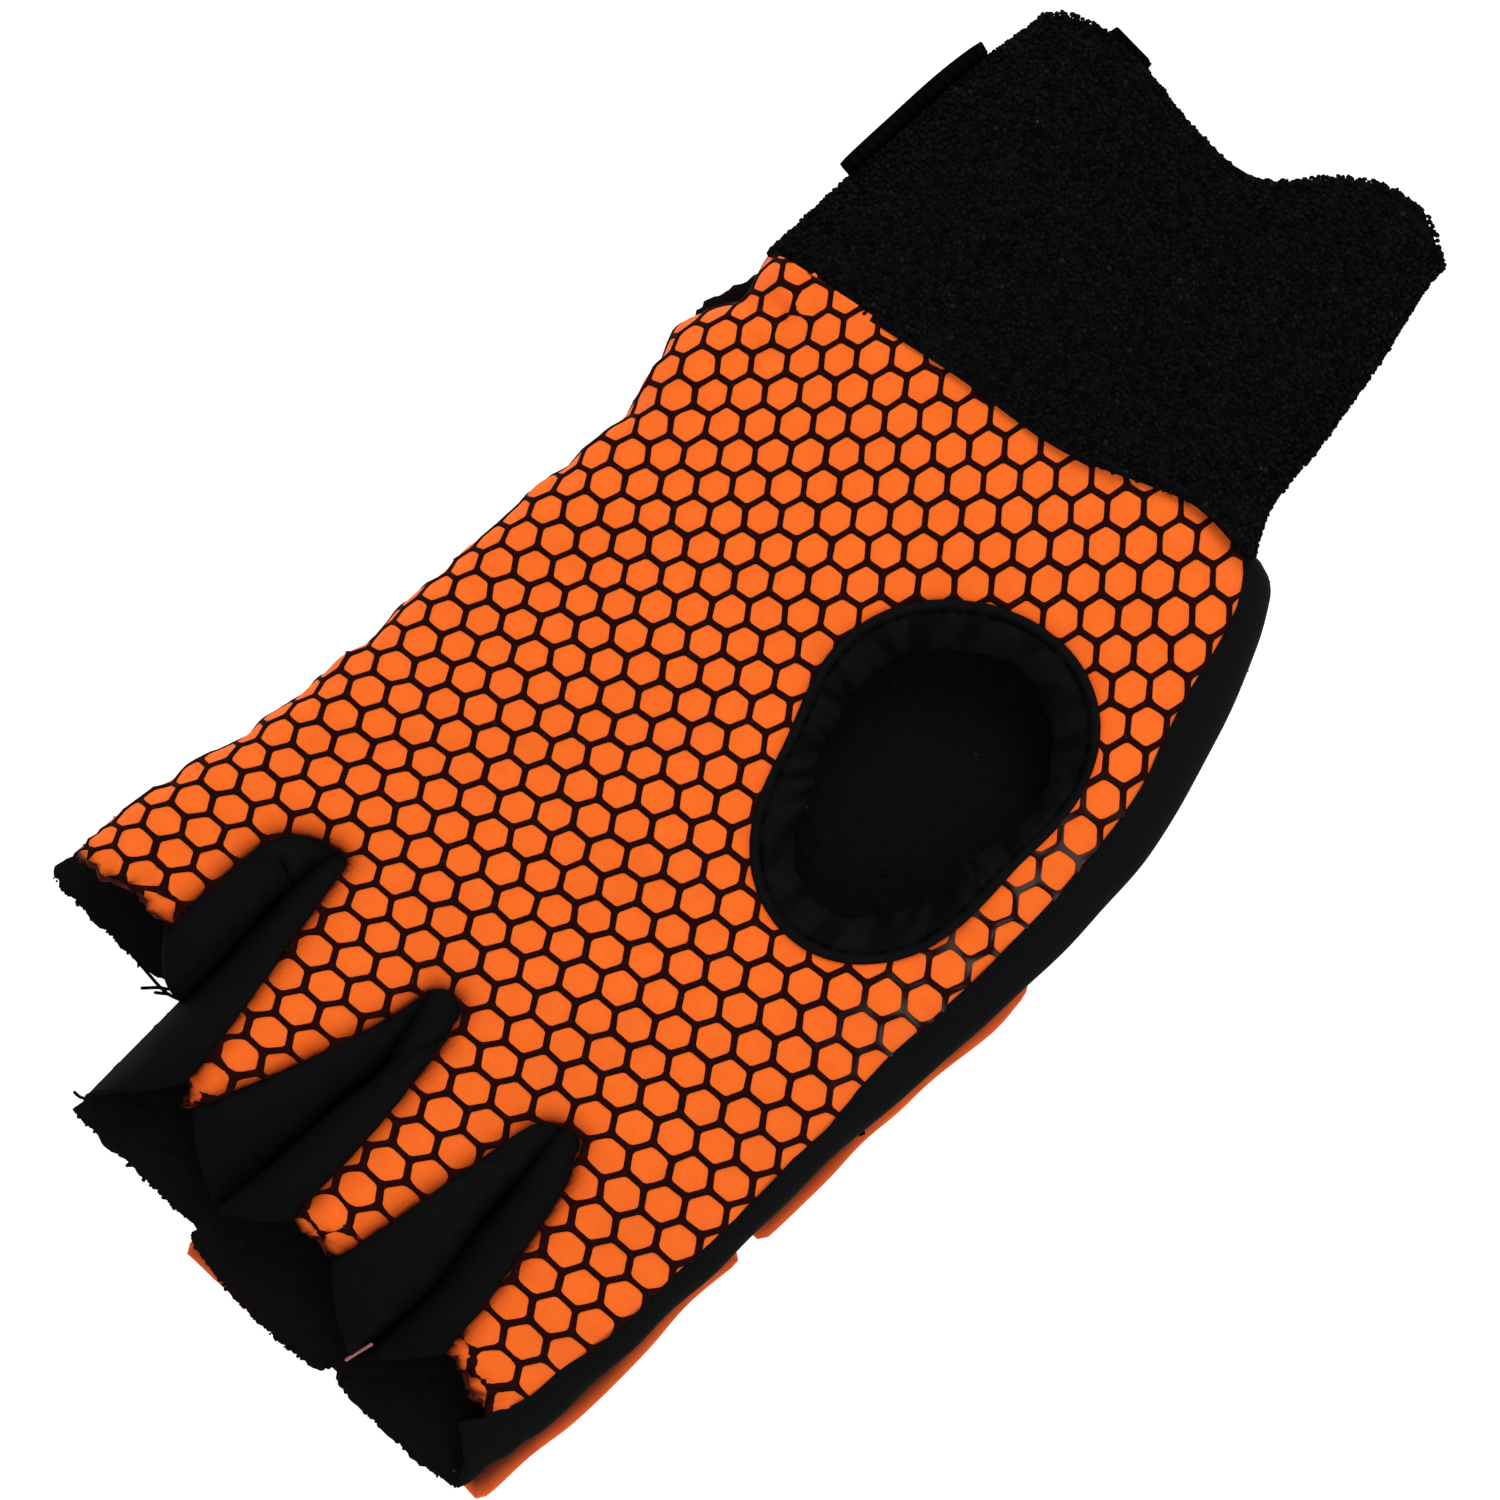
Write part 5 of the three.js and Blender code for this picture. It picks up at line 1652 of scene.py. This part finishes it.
# %% [markdown]
# ## The back pads
# Each pad is foam under orange cloth. From above only its edge shows past the gusset and past the
# middle fingertip. It is a box whose sides are rounded and slightly slack, flat only where it
# rests, with a stitched channel round its underside.

# %% Make the pads
PAD_HEIGHT = 8.0
PAD_CELL = 1.4
PAD_LAYERS = 7
HAND_PAD = {"right": 38.5, "right_at_top": 44.5, "bottom": -0.6, "top": 54.0, "corner": 4.0, "top_left": 0.8}
FINGER_PAD_START, FINGER_PAD_CORNER = 56.4, 2.4
PAD_ROUNDING = 1.8
CHANNEL_DEPTH, CHANNEL_WIDTH, CHANNEL_AT = 0.7, 0.7, 4.0
SHADE_REACH, SHADE_DEPTH = (0.5, 2.3), 0.95     # the dark line where a pad meets the back's cloth


def pad_outline(name):
    """A pad's outline: right edge at the bottom and top, y at the bottom and at the top's left and
    right, and the corner's radius at the bottom, top left and top right."""
    if name == "hand":
        pad = HAND_PAD
        rights, corners = (pad["right"], pad["right_at_top"]), (pad["corner"], pad["top_left"], pad["corner"])
        return *rights, pad["bottom"], pad["top"], pad["top"], *corners
    _, right, tip_left, tip_right, corner_left, corner_right = FINGERS[name]["pad"]
    start_right = PINKY_PAD_START if name == "pinky" else right
    corners = (FINGER_PAD_CORNER, corner_left, corner_right)
    return start_right, right, FINGER_PAD_START, tip_left, tip_right, *corners


def arc_inset(radius, gap):
    """How far a rounded corner lies inside a square one, at a gap from the corner's start."""
    return radius - np.sqrt(np.clip(radius ** 2 - np.clip(radius - gap, 0, None) ** 2, 0, None))


def make_pad(name):
    right_low, right_high, bottom, top_left, top_right, corner, corner_left, corner_right = pad_outline(name)
    top = max(top_left, top_right)
    on_side = name in ("hand", "index")
    left_low = float(read_table(PAD_SIDE, bottom)) if on_side else FINGERS[name]["pad"][0]
    bm = bmesh.new()
    bmesh.ops.create_cube(bm, size=1.0)
    cuts = (int((right_low - left_low) / PAD_CELL), int((top - bottom) / PAD_CELL), PAD_LAYERS)
    for axis, count in enumerate(cuts):
        edges = [edge for edge in bm.edges if abs(edge.verts[0].co[axis] - edge.verts[1].co[axis]) > 0.5]
        bmesh.ops.subdivide_edges(bm, edges=edges, cuts=count, use_grid_fill=True)
    u, v, w = (np.array([vertex.co[:] for vertex in bm.verts]) + 0.5).T
    y = mix(bottom, mix(top_left, top_right, u), v)
    x_left = read_table(PAD_SIDE, y) if on_side else left_low + 0 * y
    x_right = mix(right_low, right_high, v)
    x = mix(x_left, x_right, u)
    end_gap = np.minimum(v, 1 - v) * (top - bottom)
    from_edge = np.minimum(np.minimum(x - x_left, x_right - x), end_gap)
    radius = np.where(v > 0.5, np.where(u < 0.5, corner_left, corner_right), corner)
    level_in = arc_inset(PAD_ROUNDING, np.minimum(w, 1 - w) * PAD_HEIGHT)
    slack = np.sin(np.pi * w) * hills("pad", x, y)
    squeeze = arc_inset(radius, end_gap) + level_in - slack
    centre_x, half_x = (x_left + x_right) / 2, (x_right - x_left) / 2
    middle_y, half_y = (top + bottom) / 2, (top - bottom) / 2
    x = centre_x + (x - centre_x) * (1 - squeeze / half_x)
    y = middle_y + (y - middle_y) * (1 - (level_in - slack) / half_y)
    channel = CHANNEL_DEPTH * np.exp(-(((from_edge - CHANNEL_AT) / CHANNEL_WIDTH) ** 2))
    z = w * PAD_HEIGHT + channel * (w == 0)
    piece = new_object(name + "_pad_cloth", bm)
    move_points(piece, np.c_[x, y, z])
    under = mix(top_left, top_right, u) - y if name == "middle" else x - x_left
    set_mask(piece, "Shade", smooth_step(under, *SHADE_REACH) * (w == 1) * SHADE_DEPTH)
    return piece


for pad_name in ("hand",) + FINGER_ORDER:
    pad = make_pad(pad_name)
    dress(pad, PAD_CLOTH, "orange_pad", pad_name + "_pad")
    print(pad.name, "faces:", len(pad.data.polygons))

# %% [markdown]
# ## The table
# The floor belongs to the picture and not to the glove, so it is not attached to the glove. It is a light
# table, as used for products on pure white: its own glow fills the glove's shadow.

# %% Lay the floor
TABLE_GLOW = 0.9


def make_floor():
    bm = bmesh.new()
    bmesh.ops.create_grid(bm, x_segments=1, y_segments=1, size=FLOOR_SIZE / 2)
    floor = new_object("Table", bm)
    material, _, shader = start_material("Light table", (0.5, 0.5, 0.5), 0.9, 0.1)
    shader.inputs["Emission Color"].default_value = (1, 1, 1, 1)
    shader.inputs["Emission Strength"].default_value = TABLE_GLOW
    floor.data.materials.append(material)
    return floor


make_floor()
